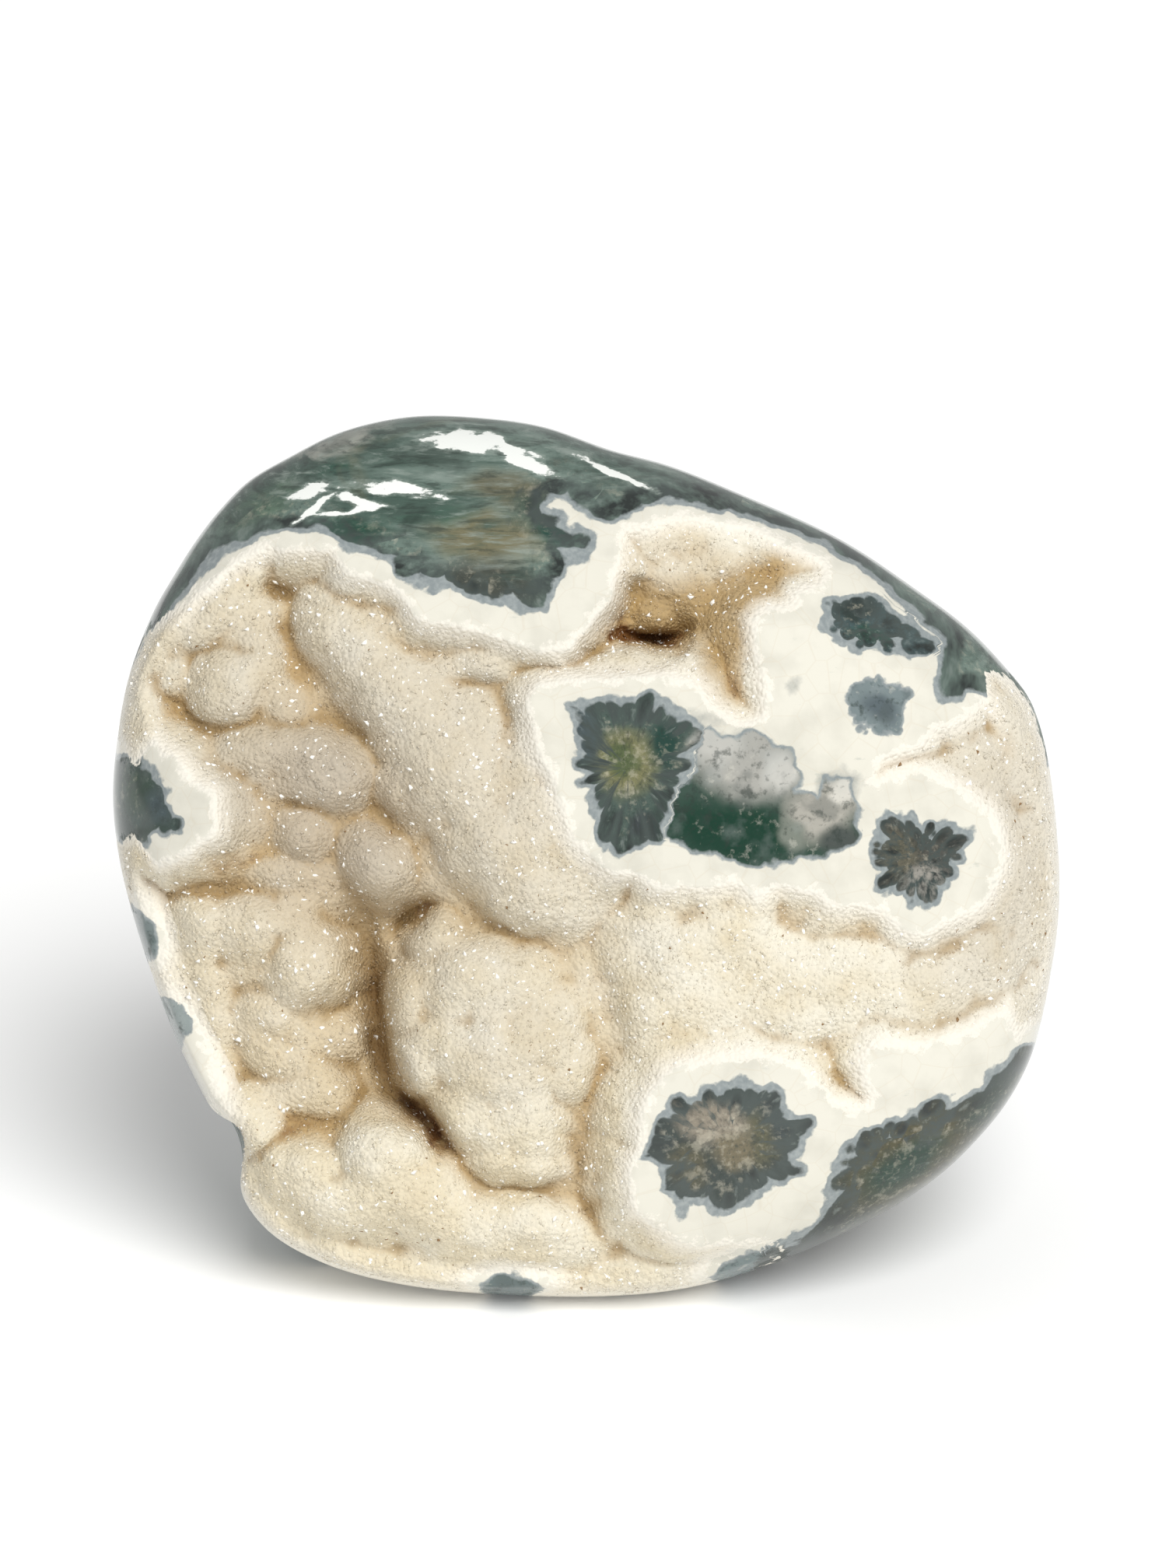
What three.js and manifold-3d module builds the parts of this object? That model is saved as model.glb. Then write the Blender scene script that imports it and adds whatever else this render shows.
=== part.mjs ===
// Ocean jasper freeform: one natural stone, ground and polished all round, with its botryoidal face left rough.
// The outside is a smooth pebble shape. On the face, lumps of chalcedony coated in fine quartz crystals lie
// below the polished shape, and where a lump reached the polish it was ground flat with it.
// The stone stands on a small flat that was ground on its underside.
// Sizes are in millimetres, +Z is up, and the lumpy face looks towards -Y and leans back a little.

import * as THREE from "three";
import { mergeVertices } from "three/addons/utils/BufferGeometryUtils.js";
import Module from "manifold-3d";

// The face frame: u runs to the right across the face, v up the face and w straight out of it.
// The face leans back from the vertical by this many degrees.
const FACE_LEAN_DEG = 18;

// How far the pebble bulges to the front and to the back of its outline.
const FRONT_REACH = 26;
const BACK_REACH = 33;
// The back bulges more towards this direction of the outline, low down, so that the stone stands upright.
const BACK_SWELL = 0.12;
const BACK_SWELL_DEG = -70;
// Section exponents: 2 is an ellipse, and a higher one is a flatter middle with a tighter turn at the edge.
const FACE_EXPONENT = 3.6;
const SHOULDER_DROP = 1.3;
const SHOULDER_DEG = 112;
const SHOULDER_SPREAD = 0.75;
const BACK_EXPONENT = 2.8;
// The flat on the underside lies this far below the middle of the outline.
const BASE_DROP = 44.1;

// The widest outline of the stone, as points [u, v] on a closed smooth curve.
const OUTLINE = [
  [-11.3, 48.7], [-19.7, 48.9], [-27.5, 47.2], [-33.6, 44.2], [-37.9, 41.6], [-41.3, 38.1], [-43.9, 34.6],
  [-46, 31.2], [-48, 27.7], [-49.5, 24.2], [-51, 19.8], [-52, 14.6], [-52.7, 6.8], [-52, -0.2],
  [-50.3, -7.1], [-48, -14.1], [-45.3, -21.1], [-42, -28], [-40, -33.4], [-38.3, -38], [-35, -42],
  [-28.8, -45.4], [-20.5, -47.6], [-10.1, -48.7], [2.1, -48.9], [10.8, -48], [19.5, -45.6],
  [28.2, -42], [34.6, -38.5], [39.5, -35], [43.1, -31.5], [46, -28], [48.1, -24.5], [49.5, -21.1],
  [51.1, -14.1], [52.1, -7.1], [52.2, -1], [51.3, 8.5], [50.2, 13.9], [48.8, 17.5], [46, 21.1],
  [41.9, 25.3], [36.3, 29.5], [28, 35], [16.9, 40.1], [9, 43.3], [2.5, 45.1], [-4.9, 47.7],
];
const OUTLINE_STEPS = 8;

// A valley of the rough face runs out over the lower left edge and leaves this notch in the outline.
const NOTCH_DEG = -141;
const NOTCH_SPREAD_DEG = 3.2;
const NOTCH_DEPTH = 3.6;
const NOTCH_W = 6;
const NOTCH_REACH = 10;

// The border between the crystal coated ground and the polished surface, as points [u, v].
// It starts on the left, follows the top rim, goes round the polished islands in the middle and on the right,
// and comes back along the bottom and round the small polished window on the left.
const ROUGH_BORDER = [
  [-49, 16.5], [-49, 19.5], [-47.5, 22], [-46, 24], [-43.5, 27.5], [-39.5, 31], [-36, 33], [-34, 34],
  [-32.5, 33.5], [-30, 33.5], [-27.5, 33], [-26, 31], [-24, 30], [-22, 29], [-20, 27.5], [-18, 25.5],
  [-15, 25], [-12.5, 24.5], [-9.5, 23.5], [-6.5, 22.5], [-3.5, 22], [-2, 22.5], [-1, 23.5], [1, 25.5],
  [2.5, 27.5], [2.5, 30.5], [3, 34], [3.5, 35.5], [6, 36], [10, 36.5], [14, 36], [17.5, 35.5],
  [21.5, 34], [24.5, 33], [26, 31.5], [25, 29], [23, 28], [22, 26.5], [19, 26], [18, 24.5],
  [18, 22], [18.5, 19.5], [19, 17], [18.5, 15], [16, 14.5], [13.5, 16], [11.5, 18], [8, 19],
  [4.5, 19], [0.5, 19], [-3.5, 19], [-6, 18], [-6.5, 16.5], [-6, 14.5], [-5.5, 11.5], [-4.5, 9.5],
  [-3.5, 7.5], [-2.5, 3.5], [-1.5, 1.5], [0.5, 0], [2.5, -1.5], [5, -1.5], [7, -3], [10, -3],
  [13, -3], [16, -2.5], [18, -4], [20.5, -3], [22.5, -3.5], [24.5, -4], [26.5, -5.5], [29, -5.5],
  [32, -6], [33.5, -7.5], [36, -8.5], [38.5, -7.5], [41.5, -5.5], [43.5, -3], [44.5, 0], [44, 3],
  [41.5, 6], [38.5, 8], [35.5, 9], [33, 8.5], [30.5, 8], [31, 10], [33.5, 11], [36, 12],
  [37.5, 13.5], [40, 14.5], [42, 16], [43.5, 17], [46, 14.5], [48, 10.5], [49.5, 5], [50.5, -1],
  [50.5, -8], [49.5, -14.5], [45.5, -16.5], [40.5, -19], [36, -20.5], [31.5, -20], [29.5, -22.5],
  [30.5, -26.5], [26.5, -26.5], [24.5, -24.5], [21.5, -22.5], [17, -21], [12, -21.5], [8.5, -22.5],
  [7, -24.5], [5.5, -27], [5.5, -31], [4.5, -33], [4.5, -36.5], [5, -38.5], [7, -39.5], [9.5, -41.5],
  [12, -42], [15, -42], [18, -43.5], [12, -46], [2, -47], [-9.5, -47], [-19.5, -45.5], [-27.5, -44],
  [-34, -41], [-37.5, -37], [-39, -32.5], [-37, -30.5], [-40.5, -27], [-44, -20], [-46.5, -13.5],
  [-48.5, -7], [-49.5, -2], [-48.5, -1], [-46.5, -1], [-44, 0], [-42, 1.5], [-40, 2.5], [-40, 4],
  [-40.5, 6.5], [-42.5, 8], [-45, 10.5], [-47.5, 13],
];
// The rough ground starts at the polish and goes down with this slope, which is steeper on the left, and it
// is rounded over at the lip.
const LIP_SLOPE = 0.8;
const LIP_SLOPE_LEFT_EXTRA = 0.6;
// The left wall of the pocket is steeper: [u, v, half length, half width, turn in degrees, extra slope].
const STEEP_LIP = [3.5, 24.5, 8, 6.5, 0, 2.6];
const LIP_ROUND = 0.6;
// Rough ground keeps at least this share of the stone's thickness in front of its outline.
const LEAST_SHARE = 0.08;
const LEAST_DEPTH = 0.3;

// Ground between the lumps: its depth under the polish on the right, how much deeper it is on the left,
// and the place and width of the change.
const GROUND_DEPTH = 3.6;
const GROUND_LEFT_EXTRA = 3.6;
const GROUND_CHANGE_U = 4;
const GROUND_CHANGE_WIDTH = 4;

// Hollows in that ground: [u, v, half length, half width, turn in degrees, depth].
const HOLLOWS = [
  [-23.6, -15, 9.5, 4.2, -88, 19], [-21.2, -25, 6.5, 3.4, -54, 20], [-16.9, -30.2, 4.4, 3, -50, 21],
  [10.5, 28.5, 10, 6.5, 0, 9.5], [7.4, 23.2, 5, 1.8, -10, 15], [3.6, 26.5, 4, 2, 90, 12],
  [-33, -30.2, 8, 1.3, 0, 11], [-20.5, -6.8, 4, 2.6, 0, 12],
];
const HOLLOW_FADE = 1.1;

// Lumps: [u, v, half length, half width, turn in degrees, depth of the crest under the polish, height].
// Each one is the cap of an ellipsoid, and lumps that meet are joined with a small fillet.
const LUMPS = [
  // Broad masses that carry the smaller lumps.
  [-36.5, 15.5, 12.5, 12, 20, 6, 9], [-29, 4, 13.5, 9, 0, 8.4, 10], [-37, -10.5, 12, 9, -12, 6, 15],
  [-35.5, -22.5, 12, 9, 0, 8, 10], [-9.5, 21.5, 13, 6, 12, 3.2, 5], [-13, 10.5, 20.5, 10.8, -55, 2, 13],
  [-3, 5, 13, 8.5, -80, 0.9, 6], [-21, 26.5, 9, 6, -32, 3.2, 6], [26, -13.5, 27.5, 9.5, 0, 1.7, 6],
  [9.5, -11.5, 12.5, 10, 90, 2.2, 6], [44.5, -0.5, 17.5, 7.5, 98, 1.6, 6],
  [-41, 28.5, 8.5, 4.5, 42, 1.2, 5], [-38, 25.5, 7, 5.5, 45, 3.8, 6],
  // The long diagonal ridge, from its upper end to the round lobe at its lower end.
  [-27, 25, 8.5, 6.5, -62, 3, 11], [-24.5, 21.4, 13, 6.6, -56, 2.9, 12],
  [-21.5, 18.5, 10, 6.6, -52, 2.4, 11], [-15, 10.5, 11.5, 8.4, -54, 1.9, 13],
  [-9.5, 2, 11, 9, -58, 1.6, 14], [-6, -2.8, 8.5, 8, -50, 1.6, 14], [-10.8, 21.4, 5, 4, 5, 2.3, 5],
  // The left side, from the top down.
  [-39.6, 18.8, 6.6, 6.4, 0, 2.6, 9.5], [-46, 20, 3.4, 4, 0, 3, 5], [-35, 21, 5, 6.5, 10, 5, 7],
  [-31.5, 9.8, 9.6, 6.6, -10, 4.6, 10], [-36.8, 10.8, 6.2, 4.4, -5, 3.8, 7],
  [-28.3, 9, 7.6, 6, -14, 3.4, 9.5], [-31, 2.3, 5.2, 4, -8, 5, 8], [-22.6, -0.2, 6.2, 4.9, -42, 3.8, 11],
  [-34, -1.4, 5.6, 3.1, -12, 6.4, 5], [-41.5, -1.4, 4.4, 2.6, 8, 6, 4.5], [-20.8, 8, 4, 4.6, 0, 4.9, 7],
  [-37.5, -7.8, 7.4, 5.2, -6, 4.2, 9], [-43.5, -8, 5, 5.4, 0, 3.2, 6], [-31, -9.5, 6.2, 5, -28, 5.4, 10],
  [-31.2, -12.8, 6.6, 6.2, 0, 4.2, 15], [-43, -15.5, 5, 9, 22, 3.6, 6], [-36, -18, 8.5, 5, 0, 6, 7],
  [-31.2, -20.3, 9, 3.8, 4, 7.6, 9], [-33, -26, 9.6, 5, 0, 6.6, 12],
  // The big central lobe, on the right of the deep hollow.
  [-9, -21.5, 15.5, 12, -85, 2.2, 24], [-13.2, -14.2, 11, 10, -70, 2.8, 22],
  [-14.6, -20, 10.5, 9, -85, 2.8, 26], [-8, -29, 10, 8.4, 0, 2.8, 15], [-5, -19, 10, 7.6, -85, 2.7, 14],
  [-15.8, -9, 6, 5, -20, 4.8, 14], [-18.6, -15.5, 5, 7, 0, 5, 14], [-9.8, -14.4, 6.8, 5.6, 0, 2.3, 5],
  [-17.4, -22.6, 5.4, 5.6, -40, 3.8, 14], [-9, -21.8, 7, 6, 0, 1.5, 5], [-1.9, -22.8, 4.6, 5.6, 0, 3, 8],
  [-12.6, -27.4, 5.2, 4.6, -30, 3, 7], [-6.6, -28.2, 4.8, 4.4, 0, 2.3, 5.5],
  [-7.8, -33.4, 8.2, 3.8, 0, 4, 10],
  // The shelf along the bottom.
  [-29, -38, 13, 7.8, -22, 2, 9], [-9, -42, 17, 7, -3, 1.9, 9], [-33, -35.2, 7, 5.4, -10, 2.1, 9],
  [-22.2, -33.4, 6.8, 6.6, 0, 1, 13], [-20.5, -37, 12, 7.2, -14, 1.7, 10], [3.8, -27.5, 3.4, 4.8, 0, 3, 6],
  [3.4, -34.5, 3.6, 5.4, 0, 2.6, 7], [9.5, -42.5, 7.5, 3.5, 5, 2.2, 6],
  // The broad gentle ground on the right.
  [9.5, -12.5, 9.5, 7.5, 90, 1.7, 6.5], [15.5, -7.5, 7, 5.4, 0, 1, 5], [27.5, -13.5, 9, 5.5, 0, 1.1, 5],
  [36, -15, 9.5, 5.5, 0, 0.9, 4.5], [22.5, -17.5, 5, 4, 0, 1.3, 4.5], [44, -11.5, 6, 5.5, 0, 0.8, 4.5],
  [46.5, -2.5, 9.5, 5, 90, 0.9, 4.5], [43, 9.5, 6.5, 5.5, 0, 1, 4.5],
  // The pocket under the top rim and the lump below it.
  [5, 19.4, 7.8, 3.5, -6, 1.6, 6], [9.4, 31.6, 8.4, 6, -8, 3.4, 8], [16.4, 32.2, 7, 4, -12, 2.8, 7],
  [21.5, 32, 5.5, 3, -15, 2, 6], [11.8, 28.4, 4.6, 4, 20, 5.2, 7], [18.2, 27, 6.4, 2.8, 40, 2.8, 6],
  [16.2, 21.8, 6.5, 2.8, 80, 3, 7], [6, 34, 4.5, 3, 0, 2.8, 6], [12.6, 20, 4, 2.4, -30, 2.6, 6],
  [-0.6, 25.4, 3.2, 4.2, -20, 1.2, 6], [7, 27.2, 4.2, 4, 0, 5.6, 7],
];
const LUMP_FILLET = 0.5;
// A lump's side steepens down to this share of its half width and goes straight down from there.
const LUMP_TURN = 0.78;

// Low knobs that stand on the lumps and fade out at their edge with this power:
// [u, v, half length, half width, turn in degrees, height].
const KNOB_FADE = 1.5;
const KNOBS = [
  [-20, 18, 6, 5, -52, 0.6], [-13.5, 8, 5.5, 5.5, 0, 0.6], [-9, 1.5, 6, 5.5, -58, 0.6],
  [-9, 14, 7, 5, -60, 0.6], [-23, 24, 4.5, 4, 0, 0.6], [-25, 30, 5, 3.6, -20, 0.7],
  [-30, 30.5, 4.6, 4, 0, 0.7], [-34, 32, 4, 3, 0, 0.6], [-30.5, 24, 4, 4, 0, 0.7],
  [-34.5, 22, 3.6, 4, 0, 0.8], [-32.5, 16, 3.8, 3.4, 90, 0.9], [-43.5, 24, 3.6, 3.4, 0, 0.7],
  [-45.5, 13, 4, 3, 0, 0.8], [-41, 8.5, 4, 3.6, 0, 0.8], [-33.5, 12.5, 3.6, 3, 0, 0.7],
  [-30, 12.5, 4, 3.2, 0, 0.7], [-24.5, 10.5, 3.8, 3.4, 0, 0.7], [-35.5, 5.8, 4.2, 3.2, 0, 0.8],
  [-18.5, 5, 4.4, 4.4, 90, 0.7], [-15, -1, 4.4, 4.8, 0, 0.7], [-3, -6.5, 4.6, 4, 0, 0.5],
  [-41, -6.5, 4.4, 3.8, 0, 0.8], [-34, -6.5, 4.6, 3.4, 0, 0.7], [-26.5, -12, 3.8, 4, 20, 0.8],
  [-34, -11, 3.8, 3.6, 0, 0.6], [-40, -12, 3.6, 3, 0, 0.7], [-34.5, -16.5, 4.2, 3, 0, 0.8],
  [-25, -17.5, 4, 2.6, 0, 0.7], [-34.5, -22, 4.6, 2.6, -8, 0.8], [-27, -24.5, 4.2, 3.4, 0, 0.7],
  [-35, -28, 3.6, 2.6, 0, 0.7], [-13, -12.5, 4, 3.6, 0, 0.6], [-19, -19, 3.2, 3.6, 0, 0.7],
  [-12, -20.5, 4.8, 4.4, 0, 0.5], [-6, -13, 4.2, 3.4, 0, 0.6], [-5, -20, 3.8, 3.2, 0, 0.7],
  [-11.5, -24, 4.4, 4, 0, 0.5], [-5, -25.5, 3.8, 3.6, 0, 0.5], [-12, -31, 3.8, 3, -20, 0.7],
  [-5, -33.5, 4, 3.4, 0, 0.6], [-10.5, -33.5, 3.6, 3, 0, 0.6], [-2.5, -17.5, 3.6, 4, 0, 0.6],
  [-25, -30, 3.6, 3.2, 30, 0.6], [-19.5, -31, 3.6, 3.2, 0, 0.6], [-27, -38, 6, 4, -15, 0.8],
  [-35.5, -33.5, 4.2, 3.2, 0, 0.7], [-30, -33.5, 3.8, 3.4, 0, 0.7], [-16, -39.5, 6, 3.6, -10, 0.7],
  [-6, -39.5, 5, 3.2, 0, 0.7], [3, -31, 3.2, 3, 0, 0.7], [2.5, -36.5, 3.4, 2.8, 0, 0.6],
  [5, -40, 4, 3, 0, 0.7], [6, -6, 5.4, 4.2, 0, 0.7], [5.5, -18.5, 4.8, 3.8, 0, 0.8],
  [14.5, -16.5, 7, 4.8, 0, 0.7], [10.5, -11, 5.4, 4.8, 0, 0.6], [20.5, -11.5, 4.8, 3.6, 0, 0.6],
  [28.5, -20, 4.8, 3.6, 90, 0.6], [31, -10.5, 5, 4, 0, 0.6], [38, -12.5, 5, 4, 0, 0.6],
  [42, -8, 3.8, 3, 0, 0.5], [-1, 20, 3.8, 2.4, -30, 0.7], [11, 19.5, 3.6, 3, 0, 0.7],
  [16, 21, 3.6, 3, 90, 0.7], [17.5, 26, 3.8, 3.4, 90, 0.7], [8, 34.5, 5.5, 2.4, 0, 0.6],
  [13.5, 32, 3.6, 3, 0, 0.7],
];

// Creases and holes between the lumps: [u, v, half length, half width, turn in degrees, depth].
const CREASES = [
  // Beside the diagonal ridge, under the left window and along the right island.
  [-32.4, 22, 9, 2.6, -78, 1.1], [-26.5, 13, 9, 2.6, -48, 1.1], [-33.6, 30, 3.8, 2.6, -80, 2],
  [-21.8, 4, 8, 2.2, -62, 1], [-41, -0.8, 8, 1.6, 8, 1.2], [25.5, -7.5, 7, 2, -8, 0.8],
  [-12, 18.7, 4.5, 1.6, -8, 1], [-45, 15.6, 4.5, 2, -35, 1.2],
  // The deep hollow along the left of the central lobe, and the slit at the bottom of the pocket.
  [-23.2, -15.5, 9.5, 2.8, -87, 4.5], [-21.3, -24, 6.5, 3, -60, 4.5], [-19.2, -6.8, 4, 2.2, 35, 3.5],
  [-17.6, -28.8, 5, 3, -52, 3.5], [7.2, 23.2, 5.5, 1.9, -10, 4.5], [17, 29.2, 7.5, 1.8, 36, 1.4],
  // The valley on the right of the central lobe, down to the bottom edge.
  [2.2, -16, 7.5, 2.4, -72, 0.8], [1.6, -26, 8, 2.4, -98, 1], [0.4, -36.5, 6.5, 2.2, -80, 1.2],
];

// The surface is a sphere of even triangles that is spread over the stone: closest on the face, wider on the
// turn at its edge and widest behind.
const SPHERE_DETAIL = 21;
const EDGE_DENSITY = 0.22;
const BACK_DENSITY = 0.09;
const PROFILE_STEPS = 720;
// Rounds in which the corners gather on steep ground, how far each round moves them, and the share of the
// outline radius within which they move.
const GATHER_STEPS = 24;
const GATHER_PULL = 0.6;
const GATHER_WITHIN = 0.96;
// Rounds in which the height of each rough corner is evened out with the corners next to it.
const EVEN_STEPS = 2;
const MIDDLE_RADIUS = 50;

const radians = THREE.MathUtils.degToRad;

// The signed difference of two angles, between minus and plus half a turn.
function turnBetween(a, b) {
  return Math.atan2(Math.sin(a - b), Math.cos(a - b));
}

// Points of a closed Catmull-Rom curve through the outline.
function smoothOutline() {
  const corners = OUTLINE.map(([u, v]) => new THREE.Vector3(u, v, 0));
  const curve = new THREE.CatmullRomCurve3(corners, true, "centripetal");
  return curve.getPoints(OUTLINE.length * OUTLINE_STEPS);
}

const outlinePoints = smoothOutline();

// Distance from the middle to the outline in one direction of the face plane.
function outlineRadius(angle) {
  const du = Math.cos(angle);
  const dv = Math.sin(angle);
  let reach = 0;
  for (let i = 0; i + 1 < outlinePoints.length; i += 1) {
    const a = outlinePoints[i];
    const b = outlinePoints[i + 1];
    const sideA = du * a.y - dv * a.x;
    const sideB = du * b.y - dv * b.x;
    if (sideA * sideB > 0 || sideA === sideB) {
      continue;
    }
    const share = sideA / (sideA - sideB);
    const along = du * (a.x + (b.x - a.x) * share) + dv * (a.y + (b.y - a.y) * share);
    reach = Math.max(reach, along);
  }
  return reach;
}

// Exponent of the pebble's front section: lower at the top, where the polished shoulder is broad.
function frontExponent(angle) {
  const turn = turnBetween(angle, radians(SHOULDER_DEG));
  return FACE_EXPONENT - SHOULDER_DROP * Math.exp(-((turn / SHOULDER_SPREAD) ** 2));
}

// How far the back bulges out at one share of the outline radius.
function backReach(across, angle) {
  return BACK_REACH * (1 + BACK_SWELL * across * Math.cos(angle - radians(BACK_SWELL_DEG)));
}

// How deep the notch is at one direction of the outline and one distance out of its plane.
function notchDepth(angle, w) {
  const turn = turnBetween(angle, radians(NOTCH_DEG)) / radians(NOTCH_SPREAD_DEG);
  return NOTCH_DEPTH * Math.exp(-(turn ** 2) - ((w - NOTCH_W) / NOTCH_REACH) ** 2);
}

// One point of a section of the pebble: the share of the outline radius, and the share of the reach.
function sectionPoint(sweep, exponent) {
  const across = Math.sin(sweep);
  const out = Math.cos(sweep);
  const size = (Math.abs(across) ** exponent + Math.abs(out) ** exponent) ** (-1 / exponent);
  return [across * size, out * size];
}

// How far [u, v] is from the middle of an oval, where 1 is on the oval.
function ovalDistance(u, v, [middleU, middleV, halfLength, halfWidth, turnDeg]) {
  const c = Math.cos(radians(turnDeg));
  const s = Math.sin(radians(turnDeg));
  const along = ((u - middleU) * c + (v - middleV) * s) / halfLength;
  const across = ((v - middleV) * c - (u - middleU) * s) / halfWidth;
  return Math.hypot(along, across);
}

// How far inside the rough border [u, v] is, and negative outside it.
function insideRough(u, v) {
  let nearest = Infinity;
  let inside = false;
  for (let i = 0; i < ROUGH_BORDER.length; i += 1) {
    const [au, av] = ROUGH_BORDER[i];
    const [bu, bv] = ROUGH_BORDER[(i + 1) % ROUGH_BORDER.length];
    const lengthSquared = (bu - au) ** 2 + (bv - av) ** 2;
    const along = ((u - au) * (bu - au) + (v - av) * (bv - av)) / lengthSquared;
    const share = THREE.MathUtils.clamp(along, 0, 1);
    nearest = Math.min(nearest, Math.hypot(u - au - (bu - au) * share, v - av - (bv - av) * share));
    if (av > v !== bv > v && u < ((bu - au) * (v - av)) / (bv - av) + au) {
      inside = !inside;
    }
  }
  return inside ? nearest : -nearest;
}

// The lesser of several depths, with a fillet where they are nearly alike.
function blendLeast(depths, fillet) {
  const total = depths.reduce((sum, depth) => sum + Math.exp(-depth / fillet), 0);
  return -fillet * Math.log(total);
}

// Grows from 0 on the right of the face to 1 on the left, where the ground is deeper and its lip steeper.
function leftShare(u) {
  return 1 / (1 + Math.exp((u - GROUND_CHANGE_U) / GROUND_CHANGE_WIDTH));
}

function groundDepth(u, v) {
  let depth = GROUND_DEPTH + GROUND_LEFT_EXTRA * leftShare(u);
  for (const hollow of HOLLOWS) {
    const strength = Math.exp(-HOLLOW_FADE * ovalDistance(u, v, hollow) ** 2);
    depth = Math.max(depth, hollow[5] * strength + depth * (1 - strength));
  }
  return depth;
}

function lumpDepth(u, v, lump) {
  const [, , , , , crest, height] = lump;
  const q = ovalDistance(u, v, lump);
  const turn = Math.sqrt(1 - LUMP_TURN ** 2);
  if (q < LUMP_TURN) {
    return crest + height * (1 - Math.sqrt(1 - q * q));
  }
  return crest + height * (1 - turn + ((q - LUMP_TURN) * LUMP_TURN) / turn);
}

function knobHeight(u, v) {
  let highest = 0;
  for (const knob of KNOBS) {
    const crown = Math.max(0, 1 - ovalDistance(u, v, knob) ** 2);
    highest = Math.max(highest, knob[5] * crown ** KNOB_FADE);
  }
  return highest;
}

function creaseDepth(u, v) {
  let total = 0;
  for (const crease of CREASES) {
    total += crease[5] * Math.max(0, 1 - ovalDistance(u, v, crease) ** 2) ** 2;
  }
  return total;
}

// How far the stone lies below the polished shape at [u, v] of the face.
function faceDepth(u, v) {
  const inside = insideRough(u, v);
  if (inside <= 0) {
    return 0;
  }
  const lumps = LUMPS.map((lump) => lumpDepth(u, v, lump));
  const ground = blendLeast([groundDepth(u, v), ...lumps], LUMP_FILLET);
  const rough = Math.max(LEAST_DEPTH, ground - knobHeight(u, v) + creaseDepth(u, v));
  const steeper = STEEP_LIP[5] * Math.max(0, 1 - ovalDistance(u, v, STEEP_LIP) ** 2);
  const lip = (LIP_SLOPE + LIP_SLOPE_LEFT_EXTRA * leftShare(u) + steeper) * inside;
  return Math.max(0, blendLeast([rough, lip], LIP_ROUND));
}

// Sweeps along a section at which equal shares of the vertices lie.
function evenSweeps() {
  const sweeps = [0];
  const areas = [0];
  let [lastAcross, lastOut] = sectionPoint(0, FACE_EXPONENT);
  for (let i = 1; i <= PROFILE_STEPS; i += 1) {
    const sweep = (Math.PI * i) / PROFILE_STEPS;
    const front = sweep < Math.PI / 2;
    const [across, out] = sectionPoint(sweep, front ? FACE_EXPONENT : BACK_EXPONENT);
    const reach = front ? FRONT_REACH : BACK_REACH;
    const step = Math.hypot((across - lastAcross) * MIDDLE_RADIUS, (out - lastOut) * reach);
    const weight = front ? EDGE_DENSITY + (1 - EDGE_DENSITY) * out ** 4 : BACK_DENSITY;
    areas.push(areas[i - 1] + step * weight * (across + lastAcross));
    sweeps.push(sweep);
    lastAcross = across;
    lastOut = out;
  }
  return { sweeps, areas };
}

const spread = evenSweeps();

function sweepAtShare(share) {
  const { sweeps, areas } = spread;
  const wanted = share * areas[areas.length - 1];
  const next = Math.max(1, areas.findIndex((area) => area >= wanted));
  const part = (wanted - areas[next - 1]) / (areas[next] - areas[next - 1]);
  return sweeps[next - 1] + (sweeps[next] - sweeps[next - 1]) * THREE.MathUtils.clamp(part, 0, 1);
}

// One point of the stone's surface in the face frame: its share of the outline radius and its direction in the
// face plane, and whether it is in front of the outline.
function stonePoint(across, angle, front) {
  const exponent = front ? frontExponent(angle) : BACK_EXPONENT;
  const out = Math.max(0, 1 - across ** exponent) ** (1 / exponent);
  const w = front ? out * FRONT_REACH : -out * backReach(across, angle);
  const radius = across * (outlineRadius(angle) - notchDepth(angle, w));
  const u = radius * Math.cos(angle);
  const v = radius * Math.sin(angle);
  const depth = front ? Math.min(faceDepth(u, v), w * (1 - LEAST_SHARE)) : 0;
  return new THREE.Vector3(u, v, w - depth);
}

// The corners of an indexed surface that share an edge with each corner.
function cornerNeighbours(index, count) {
  const lists = Array.from({ length: count }, () => new Set());
  for (let i = 0; i < index.length; i += 3) {
    const [a, b, c] = [index[i], index[i + 1], index[i + 2]];
    lists[a].add(b).add(c);
    lists[b].add(c).add(a);
    lists[c].add(a).add(b);
  }
  return lists.map((list) => [...list]);
}

// Draws the corners of the face together where it is steep, because a long edge pulls harder than a short one.
function gatherCorners(plan, neighbours) {
  for (let step = 0; step < GATHER_STEPS; step += 1) {
    const points = plan.map(({ a, b, front }) => stonePoint(Math.hypot(a, b), Math.atan2(b, a), front));
    const moved = plan.map(({ a, b, front }, i) => {
      if (!front || Math.hypot(a, b) > GATHER_WITHIN) {
        return { a, b, front };
      }
      let pullA = 0;
      let pullB = 0;
      let total = 0;
      for (const j of neighbours[i]) {
        const length = points[i].distanceTo(points[j]);
        pullA += length * (plan[j].a - a);
        pullB += length * (plan[j].b - b);
        total += length;
      }
      return { a: a + (GATHER_PULL * pullA) / total, b: b + (GATHER_PULL * pullB) / total, front };
    });
    moved.forEach((corner, i) => Object.assign(plan[i], corner));
  }
}

// Evens out the rough ground, so that the steep walls of the valleys come out smooth.
function evenGround(points, neighbours) {
  const rough = points.map(({ x, y, z }) => z > 0 && insideRough(x, y) > 0);
  for (let step = 0; step < EVEN_STEPS; step += 1) {
    const heights = points.map((point, i) => {
      const near = neighbours[i].reduce((sum, j) => sum + points[j].z, 0) / neighbours[i].length;
      return rough[i] ? (point.z + near) / 2 : point.z;
    });
    points.forEach((point, i) => point.setZ(heights[i]));
  }
}

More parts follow.
